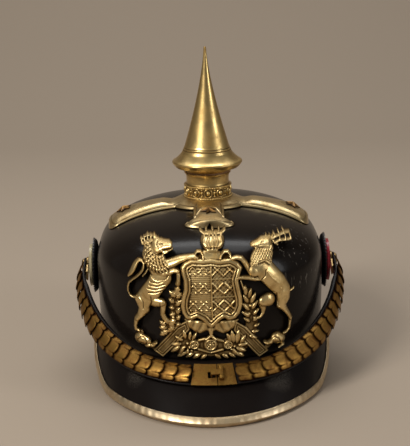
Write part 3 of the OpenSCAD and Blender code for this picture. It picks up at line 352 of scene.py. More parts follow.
def calc(tree, operation, *inputs, clamp=False):
    """Arithmetic on values that change over the surface."""
    return node(tree, "ShaderNodeMath", *inputs, operation=operation, use_clamp=clamp).outputs[0]


def blend(tree, factor, first, second):
    """Two colours mixed. Sockets 6 and 7 of the node are its colours."""
    n = node(tree, "ShaderNodeMix", data_type="RGBA", Factor=factor)
    feed(tree, n, ((6, first), (7, second)))
    return n.outputs[2]


def spread(tree, value, low, high, source=(0.0, 1.0)):
    """A value moved from one range to another, and held inside it."""
    n = node(tree, "ShaderNodeMapRange", value)
    feed(tree, n, (("From Min", source[0]), ("From Max", source[1]), ("To Min", low), ("To Max", high)))
    return n.outputs[0]


def object_place(tree):
    """Places on the piece, for patterns."""
    return tree.nodes.new("ShaderNodeTexCoord").outputs["Object"]


def new_group(name, ins, outs):
    """A node group with named inputs and outputs, and its inner input and output nodes."""
    g = bpy.data.node_groups.new(name, "ShaderNodeTree")
    for key, kind, value in ins:
        g.interface.new_socket(key, in_out="INPUT", socket_type=kind).default_value = value
    for key, kind in outs:
        g.interface.new_socket(key, in_out="OUTPUT", socket_type=kind)
    return g, g.nodes.new("NodeGroupInput").outputs, g.nodes.new("NodeGroupOutput")


def ramp(tree, source, stops):
    """A value turned into greys or colours, given at stops along it."""
    n = node(tree, "ShaderNodeValToRGB", source)
    e = n.color_ramp.elements
    e[0].position, e[1].position = stops[0][0], stops[-1][0]
    for at, _ in stops[1:-1]:
        e.new(at)
    for k, (at, value) in enumerate(stops):
        e[k].position = at
        e[k].color = (*value, 1) if isinstance(value, tuple) else (value, value, value, 1)
    return n.outputs["Color"]


def grain_group():
    """Leather grain: fine pebbles of a Voronoi pattern over a slow swelling, as a height."""
    g, given, made = new_group("leather grain", [("Scale", "NodeSocketFloat", 900.0)],
                               [("Height", "NodeSocketFloat"), ("Mottle", "NodeSocketFloat")])
    at = object_place(g)
    cells = node(g, "ShaderNodeTexVoronoi", feature="SMOOTH_F1", Vector=at, Scale=given["Scale"])
    swell = node(g, "ShaderNodeTexNoise", Vector=at, Scale=swell_scale, Detail=3.0).outputs["Fac"]
    height = calc(g, "MULTIPLY_ADD", cells.outputs["Distance"], pebble_height, swell)
    feed(g, made, (("Height", height), ("Mottle", swell)))
    return g


def scuff_and_sheen_group():
    """Scuff marks and painted sheen: the crests of a stretched noise, round a place and fading with
    distance from it.
    """
    g, given, made = new_group(
        "scuffs_and_sheen",
        [("Place", "NodeSocketVector", (0, 0, 0)), ("Radius", "NodeSocketFloat", 0.03),
         ("Stretch", "NodeSocketVector", (300, 300, 60)), ("Level", "NodeSocketFloat", 0.6),
         ("Contrast", "NodeSocketFloat", 14.0)],
        [("Mask", "NodeSocketFloat")])
    at = object_place(g)
    stretched = node(g, "ShaderNodeVectorMath", at, given["Stretch"], operation="MULTIPLY").outputs[0]
    noise = node(g, "ShaderNodeTexNoise", Vector=stretched, Scale=1.0, Detail=3.0, Roughness=0.6)
    far = node(g, "ShaderNodeVectorMath", at, given["Place"], operation="DISTANCE").outputs["Value"]
    near = spread(g, far, 1.0, 0.0, (0.0, given["Radius"]))
    crest = calc(g, "SUBTRACT", noise.outputs["Fac"], given["Level"])
    sharp = calc(g, "MULTIPLY", crest, given["Contrast"], clamp=True)
    feed(g, made, (("Mask", calc(g, "MULTIPLY", sharp, near, clamp=True)),))
    return g


def patina_group():
    """Patina: blotches of a noise that mix a clean colour with a tarnished, rougher one."""
    g, given, made = new_group(
        "patina",
        [("Clean", "NodeSocketColor", (0.8, 0.66, 0.38, 1)),
         ("Tarnish", "NodeSocketColor", (0.4, 0.27, 0.1, 1)), ("Scale", "NodeSocketFloat", 90.0),
         ("Amount", "NodeSocketFloat", 0.5)],
        [("Color", "NodeSocketColor"), ("Roughness", "NodeSocketFloat")])
    n = node(g, "ShaderNodeTexNoise", Vector=object_place(g), Scale=given["Scale"], Detail=6.0,
             Roughness=0.65, Distortion=0.4)
    mask = ramp(g, n.outputs["Fac"], [(0.42, 0.0), (0.72, 1.0)])
    share = calc(g, "MULTIPLY", mask, given["Amount"])
    colour = blend(g, share, given["Clean"], given["Tarnish"])
    feed(g, made, (("Color", colour), ("Roughness", spread(g, share, clean_rough, tarnished_rough))))
    return g


# Values of the finishes: the swelling and pebbles of leather, how its mottling, its scuff marks and its
# painted highlights show, and how rough clean and tarnished brass are
swell_scale, pebble_height, mottle_share, scuff_and_sheen_rough, leather_bump = 60.0, 0.35, 0.015, 0.3, 0.0004
clean_rough, tarnished_rough, hollow_rough = 0.24, 0.55, 0.3
# Patina with painted shade in brass's hollows: its colour as shares of the tarnish, and the roughness it
# adds
hollow_share = (0.22, 0.2, 0.18)
brass_grain, brass_bump, brass_bump_depth = 1400.0, 0.05, 0.0003
grain, scuffs_and_sheen, patina = grain_group(), scuff_and_sheen_group(), patina_group()


def use(tree, group, **values):
    """Outputs of a node group that is placed in a material."""
    n = tree.nodes.new("ShaderNodeGroup")
    n.node_tree = group
    feed(tree, n, values.items())
    return n.outputs


def material(name, **values):
    """A material with a Principled shader whose plain values are set on its own sockets."""
    m = bpy.data.materials.new(name)
    m.use_nodes = True
    shader = m.node_tree.nodes["Principled BSDF"]
    for key, value in values.items():
        shader.inputs[key.replace("_", " ")].default_value = value
    m.diffuse_color = values["Base_Color"]
    return m, m.node_tree, shader


def bump(tree, shader, height, strength, distance):
    """Fine relief of a surface, from a height."""
    b = node(tree, "ShaderNodeBump", Height=height, Strength=strength, Distance=distance)
    feed(tree, shader, (("Normal", b.outputs["Normal"]),))


def leather(name, dark, worn, rough, grain_scale, bump_strength, coat, scuff_and_sheen_places=()):
    """Leather: grain and mottling, with lighter, rougher marks in its worn colour round the places given:
    scuff marks on the skull and painted highlights on the visors.
    """
    m, t, s = material(name, Base_Color=(*dark, 1), Coat_Weight=coat, Coat_Roughness=0.1,
                       Specular_IOR_Level=0.09)
    g = use(t, grain, Scale=grain_scale)
    mask = 0.0
    # The mask carries the skull's scuff marks and the visors' painted highlights
    for place, radius, stretch, level, contrast in scuff_and_sheen_places:
        one = use(t, scuffs_and_sheen, Place=place, Radius=radius, Stretch=stretch, Level=level,
                  Contrast=contrast)["Mask"]
        mask = calc(t, "MAXIMUM", mask, one)
    wear_and_sheen = calc(t, "MULTIPLY_ADD", g["Mottle"], mottle_share, mask)
    feed(t, s, (("Base Color", blend(t, wear_and_sheen, (*dark, 1), (*worn, 1))),
                ("Roughness", spread(t, wear_and_sheen, rough, min(1, rough + scuff_and_sheen_rough), (0.1, 0.9)))))
    bump(t, s, g["Height"], bump_strength, leather_bump)
    return m


def brass(name, clean, tarnish, amount, scale, cavity=False, rough=0.0, coat=0.25):
    """Brass: patina in blotches, and where the piece carries a value for it, a darker, rougher tarnish:
    patina with painted shade in its hollows, at its edges and where parts meet.
    """
    m, t, s = material(name, Base_Color=(*clean, 1), Metallic=1.0, Coat_Weight=coat, Coat_Roughness=0.2)
    p = use(t, patina, Clean=(*clean, 1), Tarnish=(*tarnish, 1), Scale=scale, Amount=amount)
    colour, roughness = p["Color"], p["Roughness"]
    if cavity:
        # Patina with painted shade: a darker, rougher tarnish where the piece's value is high
        a = node(t, "ShaderNodeAttribute", attribute_name="hollow")
        dark = ramp(t, a.outputs["Fac"], [(0.0, 0.0), (1.0, 1.0)])
        deep = [v*share for v, share in zip(tarnish, hollow_share)]
        colour = blend(t, dark, colour, (*deep, 1))
        roughness = calc(t, "MULTIPLY_ADD", dark, hollow_rough, roughness)
    feed(t, s, (("Base Color", colour), ("Roughness", calc(t, "ADD", roughness, rough))))
    fine = node(t, "ShaderNodeTexNoise", Vector=object_place(t), Scale=brass_grain, Detail=2.0)
    bump(t, s, fine.outputs["Fac"], brass_bump, brass_bump_depth)
    return m


def enamel(name, colour, chip, rough):
    """Painted metal: slight mottling, and chips where a noise is high."""
    m, t, s = material(name, Base_Color=(*colour, 1), Roughness=rough, Coat_Weight=0.3)
    n = node(t, "ShaderNodeTexNoise", Vector=object_place(t), Scale=220.0, Detail=5.0)
    shade = tuple(0.8*v for v in colour)
    feed(t, s, (("Base Color", ramp(t, n.outputs["Fac"], [(0.3, shade), (0.62, colour), (0.74, chip)])),))
    bump(t, s, n.outputs["Fac"], 0.08, 0.0005)
    return m


# Scuff marks on the skull and painted highlights on the visors: place, radius, stretch, level and contrast
skull_flecks = [((0.062, -0.058, 0.100), 0.034, (420, 420, 90), 0.62, 14.0)]
# Painted highlight: light, rougher streaks in the visor leather's worn colour, grained by the noise, where
# the lamps' sheen lies on the visor's curve
painted_visor_sheen = [((0.050, -0.104, 0.026), 0.015, (1700, 1700, 260), 0.40, 2.4),
                ((0.044, -0.110, 0.024), 0.010, (1700, 1700, 400), 0.36, 1.6),
                ((-0.059, -0.096, 0.025), 0.012, (1700, 1700, 220), 0.44, 2.2)]
black_lacquer = leather("black lacquered leather", (0.0065, 0.0045, 0.0035), (0.28, 0.25, 0.21), 0.22,
                        1300.0, 0.04, 0.07, skull_flecks)
visor_lacquer = leather("black visor leather", (0.0055, 0.0035, 0.003), (0.26, 0.23, 0.19), 0.32, 1300.0,
                        0.08, 0.05, painted_visor_sheen)
strap_leather = leather("black strap leather", (0.014, 0.011, 0.010), (0.09, 0.075, 0.065), 0.5, 1500.0,
                        0.3, 0.05)
green_leather = leather("green lining leather", (0.10, 0.14, 0.07), (0.20, 0.24, 0.14), 0.65, 1200.0,
                        0.35, 0.0)
red_leather = leather("red lining leather", (0.30, 0.06, 0.05), (0.44, 0.14, 0.11), 0.65, 1200.0, 0.35, 0.0)
tan_leather = leather("natural leather", (0.34, 0.20, 0.11), (0.20, 0.11, 0.06), 0.62, 1100.0, 0.4, 0.0)
gilt = brass("gilt brass", (0.68, 0.49, 0.20), (0.32, 0.19, 0.055), 0.9, 70.0, cavity=True, rough=0.05,
             coat=0.08)
worn_gilt = brass("worn gilt", (0.62, 0.48, 0.25), (0.32, 0.20, 0.07), 0.9, 90.0, cavity=True, rough=0.06,
                  coat=0.1)
star_brass = brass("dark star brass", (0.36, 0.20, 0.06), (0.12, 0.05, 0.02), 0.7, 200.0, cavity=True,
                   rough=0.05, coat=0.1)
relief_gilt = brass("gilt relief", (0.80, 0.60, 0.28), (0.36, 0.21, 0.055), 0.9, 120.0, cavity=True,
                    rough=0.07, coat=0.12)
scale_brass = brass("aged scale brass", (0.34, 0.19, 0.045), (0.15, 0.06, 0.018), 0.95, 160.0,
                    cavity=True, rough=0.16, coat=0.0)
trim_brass = brass("worn pale trim", (0.66, 0.52, 0.33), (0.32, 0.20, 0.09), 0.7, 80.0, rough=0.14,
                   coat=0.15)
old_brass = brass("old brass", (0.30, 0.20, 0.08), (0.12, 0.07, 0.03), 0.6, 150.0, rough=0.1, coat=0.1)
black_enamel = enamel("black enamel", (0.015, 0.014, 0.015), (0.08, 0.07, 0.06), 0.4)
cream_enamel = enamel("cream enamel", (0.45, 0.38, 0.22), (0.22, 0.15, 0.07), 0.45)
red_enamel = enamel("red enamel", (0.42, 0.014, 0.03), (0.18, 0.03, 0.03), 0.4)


def silk_material():
    """Ribbed silk: fine cords round the head as a bump, with a soft sheen."""
    m, t, s = material("ribbed silk", Base_Color=(0.30, 0.23, 0.15, 1), Roughness=0.6, Sheen_Weight=0.4)
    at = object_place(t)
    w = node(t, "ShaderNodeTexWave", bands_direction="Z", Vector=at, Scale=260.0, Distortion=0.4)
    n = node(t, "ShaderNodeTexNoise", Vector=at, Scale=45.0, Detail=4.0)
    colour = ramp(t, n.outputs["Fac"], [(0.3, (0.22, 0.16, 0.10)), (0.7, (0.36, 0.28, 0.19))])
    feed(t, s, (("Base Color", colour),))
    bump(t, s, w.outputs["Fac"], 0.4, 0.0003)
    return m


def cord_material():
    """Plaited cord: a diagonal wave along the piece's own UV map."""
    m, t, s = material("plaited cord", Base_Color=(0.62, 0.56, 0.44, 1), Roughness=0.8)
    at = t.nodes.new("ShaderNodeUVMap").outputs["UV"]
    w = node(t, "ShaderNodeTexWave", bands_direction="DIAGONAL", Vector=at, Scale=30.0)
    colour = ramp(t, w.outputs["Fac"], [(0.0, (0.30, 0.26, 0.19)), (1.0, (0.66, 0.60, 0.48))])
    feed(t, s, (("Base Color", colour),))
    bump(t, s, w.outputs["Fac"], 0.6, 0.0004)
    return m


silk, plaited = silk_material(), cord_material()


# Skull and visors

def make_skull():
    """Skull: an outer and an inner surface of the same formula, joined by a rounded rim."""
    outer, inner = skull_grid(0.0), skull_grid(-skull_wall)
    across = 0.5 - 0.5*np.cos(np.linspace(0, math.pi, 9)[1:-1])[:, None, None]
    rim = inner[0]*(1 - across) + outer[0]*across
    grid_piece("skull_shell", np.concatenate([inner[::-1], rim, outer]), black_lacquer, covers=["skull"],
               slot="black_leather")


def visor_grid(front, cols):
    """A visor's lower face between its edge, a super-ellipse that is level in front and rises at
    its ends, and its seam on the skull's rim. Rows run from the edge up, columns left to right."""
    u = np.linspace(-1, 1, cols)
    v = np.linspace(0, 1, visor_rows)[:, None, None]
    a = np.radians(90*u)
    level, w = (level_part, front_visor_w) if front else (rear_level, rear_visor_w)
    lift = np.maximum(0, (np.abs(u) - level)/(1 - level))**visor_lift_power
    root, reach = (front_root, front_reach) if front else (rear_root, rear_reach)
    x = w/2*power(np.sin(a), 2/visor_power)
    y = root + (skull_l/2 + reach - root)*np.cos(a)**(2/visor_power)
    z = (edge_z if front else rear_edge_z)*(1 - lift) + (rim_z - 1)*lift
    edge = np.stack([x if front else -x, -y if front else y, z], -1)
    seam_at = np.radians(front_seam*u if front else 180 + rear_seam*u)
    seam = wall_point(seam_at, rim_z + 0*u, seat_gap) - [0, 0, seat_gap]
    bow = 4*v*(1 - v)*(1 - np.abs(u)[None, :, None]**6)
    return edge*(1 - v) + seam*v + bow*([0, 0, visor_bow] if front else [0, rear_bow, 0])


def lifted(points):
    """The part of a piece above the table: heights below it are held at the table."""
    points[..., 2] = np.maximum(points[..., 2], 0.0)
    return points


def make_visors():
    """Visors: a leather sheet on the lower face, and a thinner lining just under it."""
    for front, name, lining_leather, lining_slot in ((True, "front_visor", green_leather, "green_leather"),
                                                     (False, "rear_visor", red_leather, "red_leather")):
        g = visor_grid(front, visor_cols)
        n = grid_normals(g)
        points, faces = sheet(g + n*visor_t, g)
        make_piece(name + "_leather", lifted(points), faces, visor_lacquer, covers=[name],
                   slot="black_leather")
        points, faces = sheet((g - n*lining_gap)[:-1], (g - n*(lining_gap + visor_lining_t))[:-1])
        lining = name + "_lining"
        make_piece(lining + "_leather", lifted(points), faces, lining_leather, covers=[lining],
                   slot=lining_slot)


def make_trim():
    """Trim: a rounded U section carried along the front visor's edge, its outer face domed, with
    small dents. The section is laid in the plane of the visor's inward direction and normal."""
    g = visor_grid(True, trim_cols)
    n = grid_normals(g)[0]
    p = g[0]
    inward = unit(g[3] - p - n*np.sum((g[3] - p)*n, -1, keepdims=True))
    low = -lining_gap - visor_lining_t - trim_gap - trim_t
    high, out = visor_t + trim_gap + trim_t, -trim_gap - trim_t
    mid, half = (low + high)/2, (high - low)/2
    t = np.radians(np.linspace(-90, 90, 13))
    nose = np.stack([out + 1.0 - np.cos(t), mid + half*np.sin(t)], 1)
    hole = np.stack([out + trim_t + 0.9 - 0.9*np.cos(t), mid + (half - trim_t)*np.sin(t)], 1)[::-1]
    upper = [(1.6, high + 0.14), (3.0, high + 0.2), (4.4, high + 0.12), (trim_w - 0.3, high - 0.05),
             (trim_w, high - trim_t + 0.1), (trim_w - 0.3, high - trim_t), (2.5, high - trim_t)]
    lower = [(2.5, low + trim_t), (trim_w - 0.3, low + trim_t), (trim_w, low + 0.3), (trim_w - 0.5, low),
             (2.5, low)]
    e, h = np.vstack([nose, upper, hole, lower]).T[:, :, None]
    k = np.linspace(0, 1, trim_cols)
    reach = np.clip(np.minimum(k, 1 - k)/0.02, 0.35, 1)
    dent = 0.09*np.sin(k*171)*np.sin(k*67 + 1) + 0.06*np.sin(k*311 + 2)
    e, h = e*np.where(e > 1, reach, 1), h + dent*(h > mid)
    rows = p[None] + inward[None]*e[..., None] + n[None]*h[..., None]
    rows = lifted(np.concatenate([rows, rows[:1]]))
    grid_piece("visor_trim_strip", rows, trim_brass, closed=False, close=1e-5, covers=["visor_trim"],
               slot="trim_brass")


# Spike base, neck and spike

def base_outline():
    """The base's outline and, for each of its points, the place that it is drawn from: on the
    bush's hole for the middle and the arms' roots, and on an arm's own axis further out."""
    edge, root = [], []
    disc, hole = base_disc_r - 2, base_hole_r
    q = np.linspace(0, 1, 70)
    for turn, arm, other in ((-90, front_arm, side_arm), (0, side_arm, front_arm),
                             (90, front_arm, side_arm), (180, side_arm, front_arm)):
        reach, waist = arm[:2]
        first = math.sqrt(disc**2 - waist**2)
        u = np.concatenate([first + (reach - arm_end_l - first)*q[:-1],
                            reach - arm_end_l*(1 - np.sin(q[::3]*math.pi/2))])
        h = arm_half(u, arm)
        step = np.clip((u - first)/root_inset, 0, 1)
        turn_in = math.asin(waist/disc)*(1 - step)
        past = np.clip((u - first - root_inset)/(reach - first - root_inset), 0, 1)
        on_axis = hole + (reach - root_inset - hole)*past
        a = np.stack([np.where(step < 1, hole*np.cos(turn_in), on_axis), -hole*np.sin(turn_in)], 1)
        arm_edge = np.concatenate([np.stack([u, -h], 1), np.stack([u, h], 1)[-2::-1]])
        arm_root = np.concatenate([a, (a*[1, -1])[-2::-1]])
        arc = np.linspace(math.asin(waist/disc), math.pi/2 - math.asin(other[1]/disc), 16)[1:-1]
        arc = np.stack([np.cos(arc), np.sin(arc)], 1)
        c, s = math.cos(math.radians(turn)), math.sin(math.radians(turn))
        spin = np.array([[c, s], [-s, c]])
        edge.append(np.concatenate([arm_edge, arc*disc])@spin)
        root.append(np.concatenate([arm_root, arc*hole])@spin)
    return np.concatenate(edge), np.concatenate(root)


def make_base():
    """Spike base: lines from the roots to the outline, on the dome, with a bead along the rim and
    a rounded edge, and the same lines back along its underside."""
    edge, root = base_outline()
    ahead = np.roll(edge, -1, 0) - np.roll(edge, 1, 0)
    out = unit(np.stack([ahead[:, 1], -ahead[:, 0]], 1))
    far = np.maximum(0.5, np.sum((edge - root)*out, 1))
    k = np.concatenate([np.linspace(0, 0.8, 24)[:-1], 1 - 0.2*np.linspace(1, 0, 22)**1.4])
    x, y = np.moveaxis(root[None] + (edge - root)[None]*k[:, None, None], -1, 0)
    inset = far[None]*(1 - k[:, None])
    top = (base_face(x, y, base_t) + rim_bead_h*bell(inset - rim_bead_in, rim_bead_half)
           - rim_round*(1 - np.sqrt(1 - np.clip(1 - inset/rim_round, 0, 1)**2)))
    back = root[None] + (edge - root)[None]*np.linspace(1, 0, 9)[:, None, None]
    back_x, back_y = np.moveaxis(back, -1, 0)
    low = base_face(back_x, back_y, 0.0)
    rows = np.concatenate([np.stack([x, y, top], -1), np.stack([back_x, back_y, low], -1)])
    r, c = rows.shape[:2]
    quads = grid_quads(r, c, closed=True)[:, ::-1]
    j = np.arange(c)
    n = (j + 1) % c
    in_hole = np.hypot(root[:, 0], root[:, 1]) < base_hole_r + 0.01
    wall = np.stack([j, n, n + (r - 1)*c, j + (r - 1)*c], 1)[in_hole & in_hole[n]]
    # Patina with painted shade: darker just inside the rim's bead, round the stars' feet and at the foot of
    # the band, and fully on the underside
    round_star = np.minimum.reduce([np.hypot(x - a, y - b) for a, b in star_places])
    hollow = (0.75*bell(inset - 2.1, 0.7) + 0.6*np.clip((star_r + 1.5 - round_star)/1.5, 0, 1)
              + 0.8*np.clip((band_r + 1.5 - np.hypot(x, y))/1.2, 0, 1))
    hollow = np.concatenate([np.clip(hollow, 0, 1), np.ones_like(low)]).ravel()
    points, faces, hollow = weld(rows.reshape(-1, 3), np.concatenate([quads, wall]), value=hollow)
    make_piece("base_cross", points, faces, worn_gilt, covers=["spike_base"], slot="gilt_brass",
               values={"hollow": hollow})


def frame_on_skull(x, y):
    """A place on the skull: its point, and directions with the third one outwards."""
    n = dome_normal(x, y)
    side = unit(np.cross(n, [0.0, 0.0, 1.0])) if abs(n[2]) < 0.999 else np.array([1.0, 0, 0])
    fore = np.cross(n, side)
    return np.array([x, y, dome_z(x, y)]), np.stack([side, fore, n])


def make_stars():
    """Star studs: five-pointed pyramids with a ridge to each point, on a low rim. Each is four
    rings of ten points, the tip, and the middle of its underside."""
    points, faces = [], []
    k = np.arange(10)
    notch = np.where(k % 2 == 0, 0.35, 1.0)
    # Patina with painted shade: darker on the low rim and its underside, and in the notches between the
    # points
    hollow = np.concatenate([np.ones(20), notch, 0.3*notch, [0.0, 1.0]])
    after = (k + 1) % 10
    shape = [[i*10 + j, i*10 + q, (i + 1)*10 + q, (i + 1)*10 + j]
             for i in range(3) for j, q in zip(k, after)]
    shape += [[30 + j, 30 + q, 40] for j, q in zip(k, after)]
    shape += [[q, j, 41] for j, q in zip(k, after)]
    for x, y in star_places:
        at, axes = frame_on_skull(x, y)
        seat = seat_gap + base_t + star_gap + float(arm_lift(x, y))*axes[2, 2]
        a = np.radians(36*k + (90 if y else 0))
        r = np.where(k % 2 == 0, star_r, 0.42*star_r)
        rim = np.stack([r*np.sin(a), r*np.cos(a)], 1)
        rings = [np.column_stack([rim*size, np.full(10, seat + rise)])
                 for size, rise in ((1, 0), (1, 0.7), (0.93, 0.95), (0.12, star_h - 0.2))]
        flip = -1 if np.linalg.det(axes) > 0 else 1
        faces += [[42*len(points) + q for q in face[::flip]] for face in shape]
        points.append(at + np.vstack(rings + [[[0, 0, seat + star_h]], [[0, 0, seat]]])@axes)
    make_piece("stars", np.vstack(points), faces, star_brass, covers=["star_studs"], slot="gilt_brass",
               smooth=False, values={"hollow": np.tile(hollow, len(points))})


def make_neck():
    """Band: a turned ring with beaded edges and oval bosses; neck: a turned, waisted tube."""
    h = band_h
    inner = band_seat_r - band_r
    ring = [(inner, 0), (0.4, 0), (0.75, 0.5), (0.5, 1.2), (-0.5, 1.5), (-0.8, 1.9), (-0.8, h - 2.1),
            (-0.5, h - 1.7), (0.1, h - 1.4), (0.35, h - 0.8), (0, h - 0.1), (inner, h - 0.1)]
    ring = round_profile(np.array(ring) + [band_r, collar_z], 5)
    # Patina with painted shade: darker across the band's sunk middle
    turned_piece("neck_band_ring", ring, gilt, 192,
                 lambda p: 0.9*np.exp(-((p[:, 1] - collar_z - h/2)/3.2)**4),
                 loop=True, covers=["neck_band"], slot="gilt_brass")
    make_beads()
    make_bosses()
    waist, seat = neck_r - 1.2, band_seat_r - 0.1
    tube = [(neck_bore_r, collar_z + 0.1), (seat, collar_z + 0.1), (seat, band_top),
            (waist + 0.6, band_top), (waist + 0.3, band_top + 1.2), (waist + 0.2, band_top + 3.5),
            (waist + 0.35, band_top + 5.8), (neck_r - 0.5, neck_top - 1.7), (neck_r, neck_top - 1.0),
            (neck_r, neck_top - 0.05), (neck_bore_r, neck_top)]
    # Patina with painted shade: darker just above the band
    turned_piece("neck_tube", round_profile(tube, 6), gilt, 128,
                 lambda p: 0.8*np.clip(1 - (p[:, 1] - band_top)/1.2, 0, 1),
                 loop=True, covers=["spike_neck"], slot="gilt_brass")


def dome_profile(steps, foot):
    """A half round knob of radius and height 1, whose foot goes down below it."""
    t = np.radians(np.linspace(0, 90, steps))
    return np.concatenate([[[0, -foot]], np.stack([np.cos(t), np.sin(t)], 1)])


def knobs(name, centres, outs, sizes, cols, profile, finish, sunk=0.0, slot="gilt_brass"):
    """Many small domes: each is a profile turned round its own outward direction and stretched by
    its sizes across, up and out."""
    count, each = len(centres), len(profile)*cols
    sizes = np.broadcast_to(sizes, (count, 3))
    a = ring_angles(cols)[:, None, None]
    ring = np.cos(a)*(np.cross([0.0, 0, 1], outs)*sizes[:, :1]) + np.sin(a)*(sizes[:, 1:2]*[0.0, 0, 1])
    r, rise = profile.T[:, :, None, None, None]
    g = np.moveaxis(centres + r*ring + rise*(outs*sizes[:, 2:]), 2, 0)
    quads = grid_quads(len(profile), cols, closed=True)
    quads = (quads[None] + (np.arange(count)*each)[:, None, None]).reshape(-1, 4)
    hollow = np.tile(np.repeat(sunk + np.zeros(len(profile)), cols), count)
    points, faces, hollow = weld(g.reshape(-1, 3), quads, 1e-5, hollow)
    make_piece(name, points, faces, finish, slot=slot, values={"hollow": hollow})


def make_beads():
    """Two rows of small beads along the band's edges."""
    out = outward(ring_angles(bead_count))
    centres = np.concatenate([out*(band_r + 0.45) + [0, 0, collar_z + 0.75],
                              out*(band_r + 0.1) + [0, 0, collar_z + band_h - 0.85]])
    knobs("band_beads", centres, np.tile(out, (2, 1)), [0.72, 0.72, 0.55], 8, dome_profile(4, 0.2), gilt)


def make_bosses():
    """Oval bosses round the band, with three drops one over the other between two of them."""
    a = np.radians(np.arange(boss_count)*360/boss_count)
    out = outward(a)
    middle_z = collar_z + band_h/2
    boss = round_profile([(0, -0.6), (0.98, -0.5), (1.0, 0.5), (0.94, 0.95), (0.84, 1.0), (0.74, 0.55),
                          (0.62, 0.4), (0.52, 0.55), (0.42, 1.3), (0.26, 1.8), (0, 1.95)], 3)
    # Patina with painted shade in the ring round each boss's middle
    knobs("band_bosses", out*(band_r - 0.9) + [0, 0, middle_z], out, [3.4, 3.7, 1.0], 28, boss, gilt,
          bell(boss[:, 0] - 0.64, 0.14))
    out = outward(a + math.radians(180/boss_count))
    centres = np.concatenate([out*(band_r - 0.8) + [0, 0, middle_z + h] for h in (-2.4, 0.0, 2.4)])
    sizes = np.repeat([[0.8, 0.9, 0.7], [0.9, 1.4, 1.0], [0.8, 0.9, 0.7]], boss_count, axis=0)
    knobs("band_drops", centres, np.tile(out, (3, 1)), sizes, 10, dome_profile(5, 0.3), gilt)


def make_spike():
    """Spike: an underside that flares from the neck to a rolled lip, a sweep up to two engraved
    rings, and a slender cone with a rounded tip. The cone's radius grows with the power 1.42 of
    the way down from its tip."""
    ring_z, low_z = lip_z + ring_rise, lip_z - 4.3
    wide = spike_r - ring_r
    foot = round_profile([
        (neck_r - 0.2, spike_seat), (19.5, spike_seat + 1.2), (spike_r - 5, low_z + 0.1),
        (spike_r - 3.6, low_z), (spike_r - 2.2, low_z + 0.7), (spike_r - 0.8, lip_z - 1.8),
        (spike_r, lip_z - 0.5), (spike_r - 0.3, lip_z + 0.7), (spike_r - 2.2, lip_z + 1.9),
        (ring_r + 0.52*wide, lip_z + 0.36*ring_rise), (ring_r + 0.23*wide, lip_z + 0.62*ring_rise),
        (ring_r + ring_flare, ring_z - ring_band)], 8)

    def ring_face(z):
        return np.interp(z, [ring_z - ring_band, ring_z], [ring_r + ring_flare, ring_r])

    rings = []
    for z in (ring_z - 1.5, ring_z + 0.2):
        r = ring_face(z)
        rings += [(r + 0.12, z - 0.55), (r + 0.16, z - 0.35), (r - groove, z - 0.1),
                  (r - groove, z + 0.15), (r + 0.05, z + 0.4)]
    z = np.linspace(ring_z + 0.9, tip_z - tip_r, 60)
    k = np.clip((z - ring_z)/(tip_z - tip_r - ring_z), 0, 1)
    cone = np.stack([tip_r + (ring_r - tip_r)*(1 - k)**1.42, z], 1)
    t = np.radians(np.linspace(20, 90, 6))
    tip = np.stack([tip_r*np.cos(t), tip_z - tip_r + tip_r*np.sin(t)], 1)
    stud = [(0, spike_seat - stud_l), (stud_r, spike_seat - stud_l), (stud_r, spike_seat)]
    # Patina with painted shade in the two engraved rings
    turned_piece("spike_cone", np.vstack([stud, foot, rings, cone, tip]), gilt, 160,
                 lambda p: np.isclose(p[:, 0], ring_face(p[:, 1]) - groove, atol=0.12)*1.0,
                 body="spike", covers=["spike"], slot="gilt_brass")


# Front plate: figures whose heights are worked out on the plate's own face. Places are x and z in
# millimetres on the plate, and a limb is a chain of points with the radius there.

